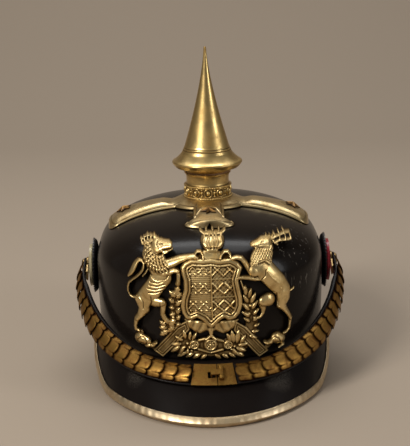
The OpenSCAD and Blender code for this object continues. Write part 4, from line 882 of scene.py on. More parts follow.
lion_body = [
    # torso, thighs, hind legs
    (1.2, 4.0, [[(-35, 95.5, 7.4), (-39.5, 88.5, 6.5), (-45.5, 79.5, 6.9)]]),
    (1.2, 4.2, [[(-48.5, 76.5, 6.2), (-48, 70.5, 4.1), (-51, 65, 2.4), (-53.5, 62, 2)],
                [(-40, 76.5, 3.8), (-35.5, 76.5, 3.2)]]),
    (1.0, 3.0, [[(-53.5, 62, 2), (-54.5, 59, 1.6), (-55, 56, 1.3), (-54.5, 53.5, 1.5), (-52.5, 53, 1.2)],
                [(-34.5, 76, 2.8), (-34.5, 72, 2.1), (-35, 68, 1.9), (-33.5, 65, 2.1), (-31, 63, 1.6)]]),
    # forelegs
    (1.2, 3.7, [[(-30, 104, 3.2), (-26, 105.5, 3), (-21.5, 107.5, 2.4), (-16.5, 109, 1.6),
                 (-11.5, 109.5, 1.6), (-9.5, 108.5, 1.1)],
                [(-23.5, 100, 1.6), (-23, 97, 1.5), (-23, 93.5, 1.5), (-23.5, 91, 1.8)]]),
    (1.6, 4.5, [[(-36.5, 99, 3.2), (-34, 97.5, 2.5), (-29.5, 99, 2.4), (-26, 100.5, 1.8),
                 (-23.5, 100, 1.6)]]),
    # mane, head and jaw
    (1.4, 4.2, [[(-42.5, 112, 5.0), (-41.5, 108.5, 6.8), (-38.5, 104, 7.8), (-36.5, 100, 7)]]),
    (2.0, 4.9, [[(-38, 114.5, 4.6), (-35, 115, 3.7)],
                [(-34, 115.5, 3), (-29.5, 116, 2.3), (-28.5, 116, 1.8)]]),
    (1.4, 3.4, [[(-37, 112, 2.1), (-33, 112, 1.4), (-30, 112.5, 1.1), (-27, 113.5, 0.8)],
                [(-33, 111, 1.3), (-30.5, 111.5, 0.9)]]),
    # small crown
    (1.2, 3.4, [[(-48.5, 114.5, 1.1), (-45, 116, 1.3), (-41, 117, 1.3), (-38, 118, 1.1)],
                [(-48.5, 114.5, 0.7), (-49.5, 116.5, 0.9)], [(-46.5, 115.5, 0.6), (-47.5, 117.5, 0.8)],
                [(-44.5, 116.5, 0.6), (-45, 119, 0.9)], [(-42, 117, 0.6), (-42.5, 119, 0.9)],
                [(-40, 117.5, 0.6), (-40, 119.5, 0.9)], [(-38, 118, 0.6), (-37, 118.5, 0.7)],
                [(-49.5, 116, 0.5), (-47.5, 117.5, 0.5), (-45, 119, 0.5), (-42.5, 119, 0.5),
                 (-40, 119.5, 0.5), (-37.5, 118.5, 0.5)]]),
    # tail
    (1.0, 2.8, [[(-52.5, 78.5, 1.3), (-55.5, 77.5, 0.9), (-58, 78.5, 0.8), (-59.5, 81.5, 0.8),
                 (-59.5, 84.5, 0.8), (-58.5, 88, 0.8), (-56, 90.5, 0.8), (-53, 93, 0.8),
                 (-50.5, 95.5, 0.9), (-48.5, 98, 0.9), (-47.5, 101, 0.9), (-47.5, 103, 1),
                 (-49, 104.5, 1.1), (-51, 104.5, 1.2), (-52.5, 103, 1.5), (-54, 100.5, 1.8),
                 (-55.5, 97.5, 1.8), (-57, 95, 1.5), (-59, 92.5, 0.7)],
                [(-48.5, 94, 0.5), (-46, 97, 0.6), (-44.5, 99.5, 0.7)]]),
    # curl underfoot
    (1.2, 4.4, [[(-51.5, 47, 4.4), (-47, 46, 3.7)],
                [(-46.5, 43, 2.3), (-42.5, 43.5, 1.7), (-40, 46, 1.1)]]),
    (0.9, 1.6, [[(-53.5, 53, 1.4), (-51, 51.5, 2.1)], [(-44, 42.5, 1.6), (-40.5, 40, 1.6)]]),
]
lion_cuts = [
    (-0.7, 0.5, [[(-50, 44.5), (-52, 43), (-54, 44), (-53.5, 47), (-51, 49.5), (-48.5, 49), (-47, 46),
                  (-47.5, 43)],
                 [(-44.5, 49), (-43.5, 46), (-44.5, 42.5)]]),
    (-0.75, 0.55, [[(-43, 91.5), (-38, 91), (-34, 92.5)], [(-43.5, 89), (-38, 88.5), (-32.5, 90.5)],
                   [(-45, 86.5), (-39.5, 86), (-33, 88)], [(-44.5, 83.5), (-40, 83.5), (-35.5, 85)]]),
    (-0.6, 0.5, [[(-43, 80.5), (-42.5, 76.5), (-44, 72)], [(-51, 79.5), (-48.5, 76), (-48.5, 71)],
                 [(-36.5, 76.5), (-36.5, 72), (-36.5, 68)]]),
    (-0.8, 0.42, [[(-28, 114.3), (-32, 113.3), (-35.5, 112.7)], [(-36.5, 116), (-34, 116.5)],
                  [(-37.5, 117.5), (-38, 115.5), (-36.5, 114)]]),
    (0.4, 0.5, [[(-36.5, 114.8), (-36, 114.7)], [(-28.8, 117.4), (-27.3, 117), (-27, 116), (-28, 115)],
                [(-37, 97.5), (-37.5, 100.5), (-36, 102)]]),
    (-0.5, 0.35, [[(-10.3, 109.6), (-9, 108.1)], [(-24.4, 91.4), (-24.3, 89.1)],
                  [(-22.8, 91.3), (-22.7, 89)], [(-32.7, 63.3), (-30.6, 61.2)],
                  [(-34.1, 62.4), (-33.1, 60.3)], [(-54, 54), (-54, 52)]]),
]
lion_mane, lion_head = lion_body[5], lion_body[6]
mane_middle, mane_reach = (-36.5, 113.0), (4.6, 6.5, 8.4, 10.3, 12.2)

stag_body = [
    # torso, thighs, hind legs
    (1.2, 4.4, [[(37, 99.5, 6.7), (41.5, 93.5, 7), (46.5, 87.5, 6.7), (50.5, 81.5, 5.8)]]),
    (1.2, 4.6, [[(51, 80, 5.5), (51, 75.5, 5.1), (49.5, 71, 3.7), (52, 67, 2.1), (54.5, 63, 1.6),
                 (56.5, 59, 1.3)],
                [(40, 76, 5.1), (37, 75.5, 4.2)]]),
    (1.0, 2.8, [[(56.5, 59, 1.3), (56, 55, 1.1), (55.5, 51, 1), (53.5, 49, 1), (51.5, 48.5, 0.9)],
                [(35.5, 74, 3), (36.5, 70, 1.9), (36, 67, 1.4), (34.5, 64.5, 1.2), (32.5, 63.5, 0.9)],
                [(53, 68, 0.9), (54, 66, 0.6)]]),
    # neck, head and chest
    (1.4, 4.1, [[(40, 112, 4.6), (37, 109, 7.2), (35.5, 105, 7.9), (33.5, 100, 7)]]),
    (1.6, 4.3, [[(40.5, 114.5, 3.5), (36.5, 115, 3), (33, 114.5, 2.3), (30, 114.5, 1.6), (29, 114.5, 1.2)],
                [(30.5, 98.5, 4.5)]]),
    # ears, coronet and antlers
    (1.2, 2.9, [[(45, 114.5, 0.9), (48, 112, 0.7)], [(46, 113, 0.7), (48.5, 114, 0.6)],
                [(40, 116.5, 1.2), (44, 116, 1.2)], [(40.5, 116.5, 0.7), (40, 118.5, 0.5)],
                [(42.5, 116.5, 0.7), (42.5, 118, 0.5)], [(44, 116, 0.7), (45, 117.5, 0.5)],
                [(45, 116, 0.9), (49, 116.5, 0.7), (53.5, 117, 0.7), (57.5, 116.5, 0.7)],
                [(47, 113.5, 0.8), (49.5, 114, 0.7), (54, 113.5, 0.7), (58.5, 113, 0.7)],
                [(50, 116.5, 0.6), (50, 114, 0.6)], [(54, 117, 0.6), (54.5, 113.5, 0.6)],
                [(57.5, 116.5, 0.7), (58.5, 113, 0.7)], [(47, 116.5, 0.6), (45.5, 118.5, 0.5)],
                [(50, 116.5, 0.6), (49, 119, 0.5)], [(54, 117, 0.6), (52.5, 119, 0.5)],
                [(55.5, 79.5, 0.9), (57.5, 80, 0.8), (59, 81, 0.7)]]),
    # forelegs
    (1.2, 3.5, [[(14.5, 107.5, 1.1), (18, 108, 1.3), (21.5, 107, 1.6), (24, 104, 1.8), (26, 100.5, 1.8),
                 (28, 98, 2.3)],
                [(34, 93, 2.3), (30, 93, 1.8), (25.5, 94, 1.5), (21.5, 94.5, 1.3), (18.5, 94.5, 1.1)]]),
    # curl underfoot
    (1.2, 4.4, [[(46, 46, 4.4), (49, 44.5, 3.5)], [(41.5, 44, 2), (39, 43.5, 1.5), (37, 45, 1.1)],
                [(50.5, 40.5, 1.4), (47.5, 39, 0.9)]]),
    (0.9, 1.6, [[(52, 47.5, 1.5), (50, 46, 2.1)], [(41, 42, 1.5), (38, 39.5, 1.5)]]),
]
stag_torso, stag_neck, stag_head = stag_body[0], stag_body[3], stag_body[4]
stag_cuts = [
    (-0.7, 0.5, [[(45, 41.5), (47.5, 41), (49, 42.5), (47.5, 46), (44.5, 48), (42, 46)],
                 [(52, 46), (52, 42.5), (50.5, 41)]]),
    (-0.65, 0.55, [[(46, 80.5), (46.5, 75.5), (47.5, 71)], [(33, 103), (37.5, 104), (41, 101.5)],
                   [(35.5, 92), (38, 94.5), (38.5, 98.5)], [(44.5, 81.5), (40, 82.5), (35.5, 86.5)]]),
    (-0.5, 0.38, [[(29.3, 113.7), (32, 113.7), (33.5, 113.8)], [(36, 115.8), (38, 115.8)],
                  [(29.4, 115.3), (30, 115)]]),
    (0.4, 0.65, [[(49.5, 83.5), (49, 79.5), (49.5, 75)], [(54.5, 74.5), (53.5, 71)],
                 [(39.5, 97.5), (43, 92.5), (48, 87.5)]]),
]

plate_crown = [
    (1.4, 4.5, [[(-2, 118, 4.9), (5, 118, 4.9)]]),
    (1.4, 3.2, [[(-1.5, 114, 2.3), (3.5, 114, 2.3)],
                [(-4.5, 121.8, 0.8), (1.5, 122, 0.8), (8, 121.8, 0.8)]]),
    (1.2, 3.4, [[(-4.5, 121.8, 0.7), (-7, 123.3, 0.9)], [(8, 121.8, 0.7), (10.5, 123.3, 0.9)],
                [(-2.8, 123.6, 0.9)], [(1.8, 123.8, 0.9)], [(6.3, 123.6, 0.9)],
                [(-2.8, 122, 0.5), (-2.8, 123.6, 0.5)], [(1.8, 122, 0.5), (1.8, 123.8, 0.5)],
                [(6.3, 122, 0.5), (6.3, 123.6, 0.5)]]),
]
plate_crown_ribs = [
    (0.8, 0.75, [[(-2, 115), (-5.5, 117.5), (-4, 121.5)], [(-0.5, 115), (-2, 118.5), (-0.5, 122)],
                 [(1.5, 114.5), (2, 122)], [(3.5, 115), (5, 118.5), (4, 122)],
                 [(5, 115), (8.5, 117.5), (7.5, 121)]]),
    (-0.8, 0.45, [[(-3, 115), (1.5, 114.5), (6, 115)], [(-4, 121.2), (2, 121.4), (7.5, 121.2)]]),
]
shield_scrolls = [
    (1.4, 2.7, [[(-3.5, 110, 3.3), (4.5, 109.5, 3.3)]]),
    (1.2, 3.6, [[(-5.5, 108, 0.9), (-5.5, 110.5, 0.9), (-7, 112.5, 0.9), (-9.5, 112.5, 0.9),
                 (-11, 111, 0.9), (-11, 109.5, 0.9)],
                [(6.5, 108, 0.9), (7.5, 110.5, 0.9), (9.5, 112, 1), (12, 112, 1), (13.5, 110.5, 0.9),
                 (14, 108, 0.9)]]),
    (0.8, 1.3, [[(-8.5, 110, 2.5)], [(10.5, 109.5, 3)]]),
]
shield_edge = [(-5.5, 108), (0, 108.5), (5.5, 107.5), (14, 108), (19, 105.5), (22, 101.5), (20.5, 97.5),
               (19, 92.5), (20, 87), (21.5, 80), (21.5, 74), (19.5, 68.5), (16.5, 65), (11.5, 64),
               (8.5, 66), (5.5, 64), (2, 60.5), (-1, 58), (-4, 61), (-7, 64.5), (-10.5, 66.5),
               (-14.5, 64.5), (-18.5, 65.5), (-21, 69.5), (-22, 74.5), (-21.5, 80.5), (-19.5, 87),
               (-19.5, 93.5), (-21, 98.5), (-21.5, 102.5), (-19, 106), (-14, 108.5)]
ribbons = [[(-18, 64), (-16, 57.5), (-35.5, 35), (-42.5, 39.5), (-25.5, 59.5)],
           [(16.5, 63), (23.5, 58), (40, 37.5), (33, 33.5), (15, 56)]]
drape_edge = [(-20, 65.5), (-16, 58.5), (-9.5, 54.5), (-4.5, 56.5), (-1, 56), (2.5, 56.5), (8, 54),
              (14.5, 57.5), (19, 64.5), (-1, 63.5)]
lower_mounts = [
    # knot under the drape, the bed of the leaves, and thin stalks
    (1.2, 2.8, [[(-1, 57, 2), (-1, 53, 1.2)], [(-1, 53, 1.2), (-4.5, 50, 1.1)],
                [(-1, 53, 1.2), (2, 50, 1.1)]]),
    (0.9, 1.5, [[(-11, 46, 3.8), (9.5, 45.5, 3.8)],
                [(-26, 43.5, 3.2), (-20.5, 47.5, 4.9), (-14.5, 47, 4.2)],
                [(11.5, 46.5, 4.2), (17, 47.5, 4.9), (22, 44, 3.5)],
                [(-23.5, 40, 1.8), (-11.5, 39.5, 1.8), (-1.5, 38.5, 1.8), (9, 39, 1.8), (20.5, 39, 1.8)]]),
    (0.9, 1.5, [[(-24, 85.5, 2.3), (-26.5, 79.5, 3.2), (-26, 72, 3.2), (-26, 64.5, 3.5),
                 (-29.5, 57.5, 4.6), (-33.5, 58, 3.5)],
                [(24, 85, 1.8), (26, 77.5, 3.5), (27.5, 69, 3.9), (28, 61.5, 4.2), (27, 53, 3.9)]]),
    (1.1, 2.4, [[(-9.5, 49.5, 1.1), (-5.5, 50.5, 1.1)], [(3, 50, 1.1), (7, 48.5, 1.1)],
                [(-10, 42.5, 0.9), (-1.5, 40, 0.9), (7, 42, 0.9)], [(20.5, 92.5, 0.6), (22.5, 86, 0.8)]]),
    # berries and flower middles
    (1.2, 3.0, [[(-18, 47, 1)], [(-20, 44, 0.9)], [(-16.5, 44, 0.9)], [(-22.5, 42, 0.9)],
                [(-15, 41.5, 0.9)], [(-24.5, 49, 0.9)], [(-16, 50.5, 0.9)], [(15.5, 44, 1)],
                [(13, 42, 0.9)], [(18, 41.5, 0.9)], [(21.5, 47.5, 0.9)], [(-27.5, 82.5, 1.3)],
                [(-24, 77, 1.3)], [(-27.5, 66, 1.2)], [(27, 73.5, 1.1)], [(26, 67.5, 1.1)], [(30, 64, 1)]]),
]
# leaves, each from its stalk to its tip
low_leaves = [(-23.5, 44.5, -30, 39.5), (-22.5, 46.5, -29.5, 45.5), (-21, 49, -26.5, 52),
              (-19, 50.5, -20.5, 57), (-16.5, 50, -15.5, 56.5), (-14.5, 50, -11, 55.5),
              (-20.5, 44.5, -23.5, 38.5), (-17.5, 43, -18.5, 37.5), (15, 47, 13.5, 56.5),
              (17, 46.5, 18.5, 56), (13, 48, 10, 54.5), (19.5, 46.5, 23.5, 52), (18, 44.5, 25, 45.5),
              (16.5, 43, 24, 39.5), (14, 42.5, 18, 36)]
foot_leaves = [(-19, 40, -25.5, 36.5), (-14, 39.5, -19.5, 36), (-9, 39, -14.5, 35.5), (-4.5, 38.5, -9, 35),
               (1.5, 38.5, 6, 35), (6.5, 38.5, 11.5, 35), (11.5, 39, 16.5, 35), (16.5, 39, 22.5, 35.5)]
oak_leaves = [(-25, 82.5, -23, 90), (-25.5, 81.5, -30, 86), (-24.5, 80.5, -21, 85),
              (-26.5, 77, -30.5, 80), (-25, 75, -21.5, 79.5), (-26.5, 73, -30.5, 73.5),
              (-26, 69, -30.5, 67.5), (-24.5, 69, -22.5, 74), (-26, 64.5, -30.5, 60),
              (-25, 64.5, -22, 68), (-25.5, 60, -22, 62), (-27, 59.5, -31.5, 54.5),
              (-33, 59.5, -37.5, 63), (-32, 58, -38, 57.5), (-31.5, 56, -37.5, 51.5),
              (-31.5, 61, -33.5, 66.5), (-29.5, 58.5, -27.5, 65)]
laurel_leaves = [(24, 81.5, 23.5, 89), (26, 79.5, 28, 86.5), (27.5, 75.5, 31, 83), (25.5, 76, 22, 82),
                 (28, 71, 32.5, 77), (26, 70.5, 21.5, 76), (29, 66.5, 33.5, 71), (26, 65.5, 21, 70),
                 (29, 62, 33.5, 65), (26.5, 61.5, 22, 65), (29.5, 57.5, 34, 59.5), (28, 54, 33.5, 54),
                 (26.5, 51, 32, 48.5)]
row_foot, row_rise, wave_step, hatch_step, saltire_step, lattice_step = 68.5, 13.0, 7.4, 1.4, 8.6, 2.8
scroll_w, rim_in, field_in, border = 1.7, 4.2, 4.8, 0.3
rosettes = [(-1.5, 46, 4.2, 8), (-13, 46, 3.1, 5), (11, 45.5, 3, 5)]
relief_step, least_h, tuft_step, tuft_drop, tuft_rows, tuft_cols = 0.34, 0.9, 1.9, 1.5, 11, 9
# Where the dome leans back under the plate's top, its back comes forward by a part of its depth
thin_from, thin_over, thin_part = 102.0, 14.0, 0.7


def plate_point(x, z, h):
    """A point h out from the plate's back. The plate follows the skull's plan and crown powers,
    grown by its gap, which widens with the square of the height above the widest line."""
    gap = plate_gap + plate_lean*(np.maximum(0, z - widest_z)/(plate_top_z - widest_z))**2
    d = gap + h - taper(z)
    up = np.maximum(0, (z - widest_z)/(crown_z + d - widest_z))
    level = np.maximum(0.02, 1 - up**crown_power - (np.abs(x)/(skull_w/2 + d))**side_power)
    return np.stack([x, -(skull_l/2 + d)*level**(1/front_power), z], -1)


def nearest(x, z, a, b):
    """Distance to the stretch from a to b, and how far along it the nearest point lies."""
    dx, dz = b[0] - a[0], b[1] - a[1]
    t = np.clip(((x - a[0])*dx + (z - a[1])*dz)/max(dx*dx + dz*dz, 1e-6), 0, 1)
    return np.hypot(x - a[0] - t*dx, z - a[1] - t*dz), t


def limb_field(x, z, limbs):
    """Height and inside distance of rounded limbs. Across a limb the height is low + (high - low)
    times the root of 1 - (distance/radius) squared, and where limbs overlap the highest counts."""
    height, inside = np.zeros_like(x), np.full_like(x, -9.0)
    for low, high, chains in limbs:
        for chain in chains:
            for a, b in zip(chain[:-1] or chain, chain[1:] or chain):
                d, t = nearest(x, z, a, b)
                r = a[2] + (b[2] - a[2])*t
                height = np.maximum(height, np.where(d < r + border, low + (high - low)*arch(d, r), 0))
                inside = np.maximum(inside, r - d)
    return height, inside


def add_strokes(x, z, height, strokes):
    """Cuts and ridges drawn on a figure: each adds its size times 1 - (distance/radius) squared."""
    for size, r, lines in strokes:
        mark = np.zeros_like(x)
        for line in lines:
            for a, b in zip(line[:-1], line[1:]):
                mark = np.maximum(mark, bulge(nearest(x, z, a, b)[0], r))
        height = height + size*mark*(height > 0)
    return height


def leaf_field(x, z, leaves, width, high, lobes=0.0):
    """Leaves: the half width along a leaf is a sine arch, waved by its lobes, and the height is an
    arch across it with a cut midrib."""
    height, inside = np.zeros_like(x), np.full_like(x, -9.0)
    for x0, z0, x1, z1 in leaves:
        length = math.hypot(x1 - x0, z1 - z0)
        ux, uz = (x1 - x0)/length, (z1 - z0)/length
        along = ((x - x0)*ux + (z - z0)*uz)/length
        side = np.abs((x - x0)*uz - (z - z0)*ux)
        k = np.clip(along, 0, 1)
        half = width*length*np.sin(math.pi*k**0.8)**0.75*(1 + lobes*np.cos(k*19)) + 0.05
        within = np.where((along > -0.02) & (along < 1.02), half - side, -1.0)
        swell = arch(side, half)*(0.75 + 0.25*np.sin(math.pi*k))
        rise = 1.2 + (high - 1.2)*swell - 0.5*np.clip(1 - side/0.3, 0, 1)
        height = np.maximum(height, np.where(within > 0, rise, 0))
        inside = np.maximum(inside, within)
    return height, inside


def edge_distance(x, z, outline):
    """Distance inside a closed outline, negative outside it."""
    far, odd = np.full_like(x, 99.0), np.zeros(x.shape, bool)
    for a, b in zip(outline, outline[1:] + outline[:1]):
        far = np.minimum(far, nearest(x, z, a, b)[0])
        if a[1] != b[1]:
            at = a[0] + (z - a[1])*(b[0] - a[0])/(b[1] - a[1])
            odd ^= ((a[1] > z) != (b[1] > z)) & (x < at)
    return np.where(odd, far, -far)


def hair(x, z, height, roots, tips, half, rise):
    """Locks of hair: tapered drops from their roots to their tips, each an arch across."""
    lock = np.zeros_like(x)
    for a, b in zip(roots, tips):
        d, t = nearest(x, z, a, b)
        lock = np.maximum(lock, arch(d, half*(1 - 0.65*t))*(1 - 0.3*t))
    return height + rise*(lock - 0.45)


def lion_field(x, z):
    """Lion: rounded limbs, cuts along its ribs and muscles, and locks in rings round the face."""
    height, inside = limb_field(x, z, lion_body)
    height = add_strokes(x, z, height, lion_cuts)
    roots, tips = [], []
    for k, reach in enumerate(mane_reach):
        for a in np.radians(np.arange(118 + 9*(k % 2), 318, 125/reach)):
            way = np.array([math.cos(a), math.sin(a)])
            swirl = np.array([-way[1], way[0]])
            roots.append(np.array(mane_middle) + way*reach)
            tips.append(roots[-1] + way*1.9 + swirl*1.1 - [0, 0.5])
    mane = limb_field(x, z, [lion_mane])[1]
    face = limb_field(x, z, [lion_head])[1]
    hairy = (mane > -0.4) & (face < 0.1)
    return np.where(hairy, hair(x, z, height, roots, tips, 1.15, 1.9), height), inside


def stag_field(x, z):
    """Stag: rounded limbs and cuts, with rows of tufts down its neck."""
    height, inside = limb_field(x, z, stag_body)
    height = add_strokes(x, z, height, stag_cuts)
    row, col = np.meshgrid(np.arange(tuft_rows), np.arange(tuft_cols), indexing="ij")
    roots = np.stack([28.0 + tuft_step*(col + 0.5*(row % 2)), 112.5 - tuft_drop*row], -1).reshape(-1, 2)
    neck = limb_field(x, z, [stag_neck])[1]
    body = limb_field(x, z, [stag_head, stag_torso])[1]
    hairy = (neck > -0.3) & (body < 0.6)
    return np.where(hairy, hair(x, z, height, roots, roots + [-0.5, -tuft_drop], 1.0, 1.6), height), inside


def shield_field(x, z):
    """Shield: a raised scroll edge, a rim inside it, and a crowned field that is halved by a rib:
    one half has rows of waves with berries on fine hatching, the other rows of saltires."""
    s = edge_distance(x, z, shield_edge)
    scroll = 1.3 + 1.9*arch(s - scroll_w, scroll_w)
    rim = 2.4 + 1.2*bulge(s - rim_in, 0.7)
    row = (z - row_foot) % row_rise - 0.5*row_rise
    wave = row - 1.7*np.sin(2*math.pi*x/wave_step)
    berry = np.hypot((x + 0.25*wave_step) % (0.5*wave_step) - 0.25*wave_step, np.abs(row) - 3.1)
    left_half = 0.9*bulge(wave, 0.8) + 0.9*bulge(berry, 0.95) + 0.3*np.abs(np.sin(math.pi*z/hatch_step))
    across = x % saltire_step - 0.5*saltire_step
    arm = np.minimum(np.abs(across - row), np.abs(across + row))/1.4
    bar = np.abs(row) - 0.5*row_rise
    lattice = np.minimum(np.abs((x + z) % lattice_step - lattice_step/2),
                         np.abs((x - z) % lattice_step - lattice_step/2))
    right_half = (1.0*bulge(arm, 0.65)*(np.abs(row) < 4.4) + 0.7*bulge(bar, 0.5)
                  + 0.9*bulge(np.hypot(across, row), 1.3) + 0.3*np.clip(1 - lattice/0.4, 0, 1))
    middle = 0.2 - 0.01*(z - 62)
    ground = 1.55 + 0.6*bulge(x, 17)
    field = ground + np.where(x < middle, left_half, right_half)*smooth((s - field_in)/0.8)
    field = np.maximum(field, ground + 1.4*bulge(x - middle, 0.65)*(s > 4.4))
    height = np.where(s < 3.5, scroll, np.where(s < 4.9, np.maximum(rim, 1.8), field))
    return np.where(s > -border, height, 0), s


def rosette_field(x, z, at_x, at_z, r, petals):
    """Rosette: a round rim, a ring of petals inside it and a middle."""
    d, a = np.hypot(x - at_x, z - at_z), np.arctan2(z - at_z, x - at_x)
    flower = 2.1 + 1.0*bulge(d - 0.86*r, 0.14*r) + 0.9*bulge(d, 0.22*r)
    flower += 0.7*bulge(d - 0.45*r, 0.27*r)*(0.45 + 0.55*np.cos(petals*a))
    return np.where(d < r + border, flower, 0), r - d


def centre_field(x, z):
    """Crown, shield, drape, ribbons, leaves and rosettes, the highest one counting."""
    parts = [shield_field(x, z), limb_field(x, z, shield_scrolls), limb_field(x, z, lower_mounts)]
    crown, crown_in = limb_field(x, z, plate_crown)
    parts.append((add_strokes(x, z, crown, plate_crown_ribs), crown_in))
    for line in ribbons:
        s = edge_distance(x, z, line)
        ridges = 1.6 + 0.5*bulge(s - 0.6, 0.6) + 0.4*bulge(s - 2.3, 0.35)
        parts.append((np.where(s > -border, ridges, 0), s))
    s = edge_distance(x, z, drape_edge)
    folds = 1.3 + 1.1*np.sqrt(np.clip(s/1.6, 0, 1)) + 0.35*np.sin(1.1*np.abs(x + 1) + 0.5*(z - 54))
    parts.append((np.where(s > -border, folds, 0), s))
    for leaves in ((low_leaves, 0.20, 3.4), (foot_leaves, 0.24, 2.8), (oak_leaves, 0.30, 3.2, 0.22),
                   (laurel_leaves, 0.20, 3.4)):
        parts.append(leaf_field(x, z, *leaves))
    parts += [rosette_field(x, z, *rosette) for rosette in rosettes]
    return tuple(np.maximum.reduce(layers) for layers in zip(*parts))


def blurred(grid, times):
    """A grid averaged with its neighbours, weighed 1, 2, 1 along each way."""
    for _ in range(times):
        grid = (np.roll(grid, 1, 0) + 2*grid + np.roll(grid, -1, 0))/4
        grid = (np.roll(grid, 1, 1) + 2*grid + np.roll(grid, -1, 1))/4
    return grid


def relief_piece(name, x_range, z_range, field, covers=()):
    """A figure on the plate: a grid of heights over the plate's face, kept where it is inside the
    figure, with its border drawn onto the outline, a back on the plate's seat, and walls between."""
    x, z = np.meshgrid(np.arange(*x_range, relief_step), np.arange(*z_range, relief_step))
    _, inside = field(x, z)
    near = inside > -0.5*relief_step
    cell = near[:-1, :-1] & near[1:, :-1] & near[:-1, 1:] & near[1:, 1:]
    for _ in range(4):
        a, b, c, d = cell[:-1, :-1], cell[1:, 1:], cell[:-1, 1:], cell[1:, :-1]
        touch = (a & b & ~c & ~d) | (c & d & ~a & ~b)
        for part in (a, b, c, d):
            part |= touch
    edge = np.pad(cell, 1)
    count = edge[:-1, :-1]*1 + edge[1:, :-1] + edge[:-1, 1:] + edge[1:, 1:]
    on_edge = (count > 0) & (count < 4)
    slope_z, slope_x = np.gradient(inside, relief_step)
    steep = np.maximum(slope_x**2 + slope_z**2, 0.3)
    shift = np.clip(inside/steep, -0.6*relief_step, 0.6*relief_step)*on_edge
    x, z = x - shift*slope_x, z - shift*slope_z
    height, inside = field(x, z)
    height = np.where(count > 0, np.maximum(blurred(height, 1)*0.4 + height*0.6, least_h), least_h)
    # Patina with painted shade: darker in the cavities, at the figures' edges and on low ground, and fully
    # on the back
    sunk = 0.5*blurred(height, 5) + 0.5*blurred(height, 16) - height
    dark = np.clip((sunk - 0.015)/0.24, 0, 1) + 0.55*np.clip(1 - inside/0.5, 0, 1)
    dark = np.clip(dark + 0.8*np.clip((2.3 - height)/0.9, 0, 1), 0, 1)
    thinned = thin_part*smooth((z - thin_from)/thin_over)
    front, back = plate_point(x, z, height), plate_point(x, z, height*thinned)
    n = x.size
    index = np.arange(n).reshape(x.shape)
    a, b, c, d = index[:-1, :-1], index[:-1, 1:], index[1:, 1:], index[1:, :-1]
    walls = []
    for beside, p, q in ((edge[:-2, 1:-1], b, a), (edge[1:-1, 2:], c, b), (edge[2:, 1:-1], d, c),
                         (edge[1:-1, :-2], a, d)):
        m = cell & ~beside
        walls.append(np.stack([p[m], q[m], q[m] + n, p[m] + n], 1))
    faces = np.stack([a[cell], b[cell], c[cell], d[cell]], 1)
    faces = np.concatenate([faces, faces[:, ::-1] + n] + walls)
    points = np.concatenate([front.reshape(-1, 3), back.reshape(-1, 3)])
    hollow = np.concatenate([dark.ravel(), np.ones(n)])
    used, faces = np.unique(faces, return_inverse=True)
    make_piece(name, points[used], faces.reshape(-1, 4), relief_gilt, covers=covers, slot="gilt_brass",
               values={"hollow": hollow[used]})


def make_front_plate():
    """The plate's two figures, and all that stands between and below them."""
    relief_piece("plate_lion", (-62, -7), (37, 122), lion_field)
    relief_piece("plate_stag", (13, 62), (37, 121), stag_field)
    relief_piece("plate_centre", (-44, 42), (32, 128), centre_field, covers=["front_plate"])


# Chin straps and scales

turn = np.radians(np.linspace(0, 90, 1441))


def chin_curve(a):
    """The right strap's middle line: a super-ellipse in plan from the front to the post, drawn in
    beside the post, that rises by a power of how far back it is."""
    y = strap_y*np.cos(a)**(2/chin_power)
    x = strap_x*np.sin(a)**(2/chin_power) - post_inset*bell(y, post_inset_l)
    z = strap_front_z + (post_z - strap_front_z)*(1 - y/strap_y)**chin_rise
    return np.stack([x, -y, z], -1)


chin_points = chin_curve(turn)
chin_run = np.concatenate([[0], np.cumsum(np.linalg.norm(np.diff(chin_points, axis=0), axis=1))])
chin_len = chin_run[-1]
scale_pitch = (chin_len - scales_end - scales_from)/scale_count
scale_half = strap_w/2 - scale_margin


def chin_at(s):
    """Place on the right strap's middle line at a run s from the front, and past its ends."""
    k = np.clip(np.abs(s), 0, chin_len)
    p = np.stack([np.interp(k, chin_run, chin_points[:, i]) for i in range(3)], -1)
    p[..., 0] = np.where(s < 0, -p[..., 0], p[..., 0])
    end = unit(chin_points[-1] - chin_points[-40])
    return p + np.maximum(0, s - chin_len)[..., None]*end


def chin_place(s, w, h):
    """A point w across the strap and h out of it, at the run s. The strap leans back in front."""
    s, w, h = np.broadcast_arrays(s, w, h)
    p = chin_at(s)
    run = unit(chin_at(s + 2.0) - chin_at(s - 2.0))
    tilt = np.radians(front_tilt)*np.maximum(0, -p[..., 1])/strap_y
    flat = unit(np.stack([run[..., 1], -run[..., 0], 0*tilt], -1))
    lean = flat*np.cos(tilt)[..., None] + np.stack([0*tilt, 0*tilt, np.sin(tilt)], -1)
    out = unit(lean - run*np.sum(lean*run, -1, keepdims=True))
    width = np.cross(out, run)
    return p + width*w[..., None] + out*h[..., None]


def both_sides(label, covered, points, quads, material, slot, **more):
    """A piece of the right strap and its mirror image on the left one."""
    for side, name in ((1, "right"), (-1, "left")):
        make_piece(name + label, points*[side, 1, 1], quads[:, ::side], material, body=name + "_chin",
                   covers=[name + covered], slot=slot, **more)


def strap_half(s):
    """Half width of a strap, which is rounded past its post."""
    k = np.clip((s - chin_len + strap_round_from)/strap_round_l, 0, 1)
    return strap_w/2*np.sqrt(np.maximum(0.02, 1 - k*k))


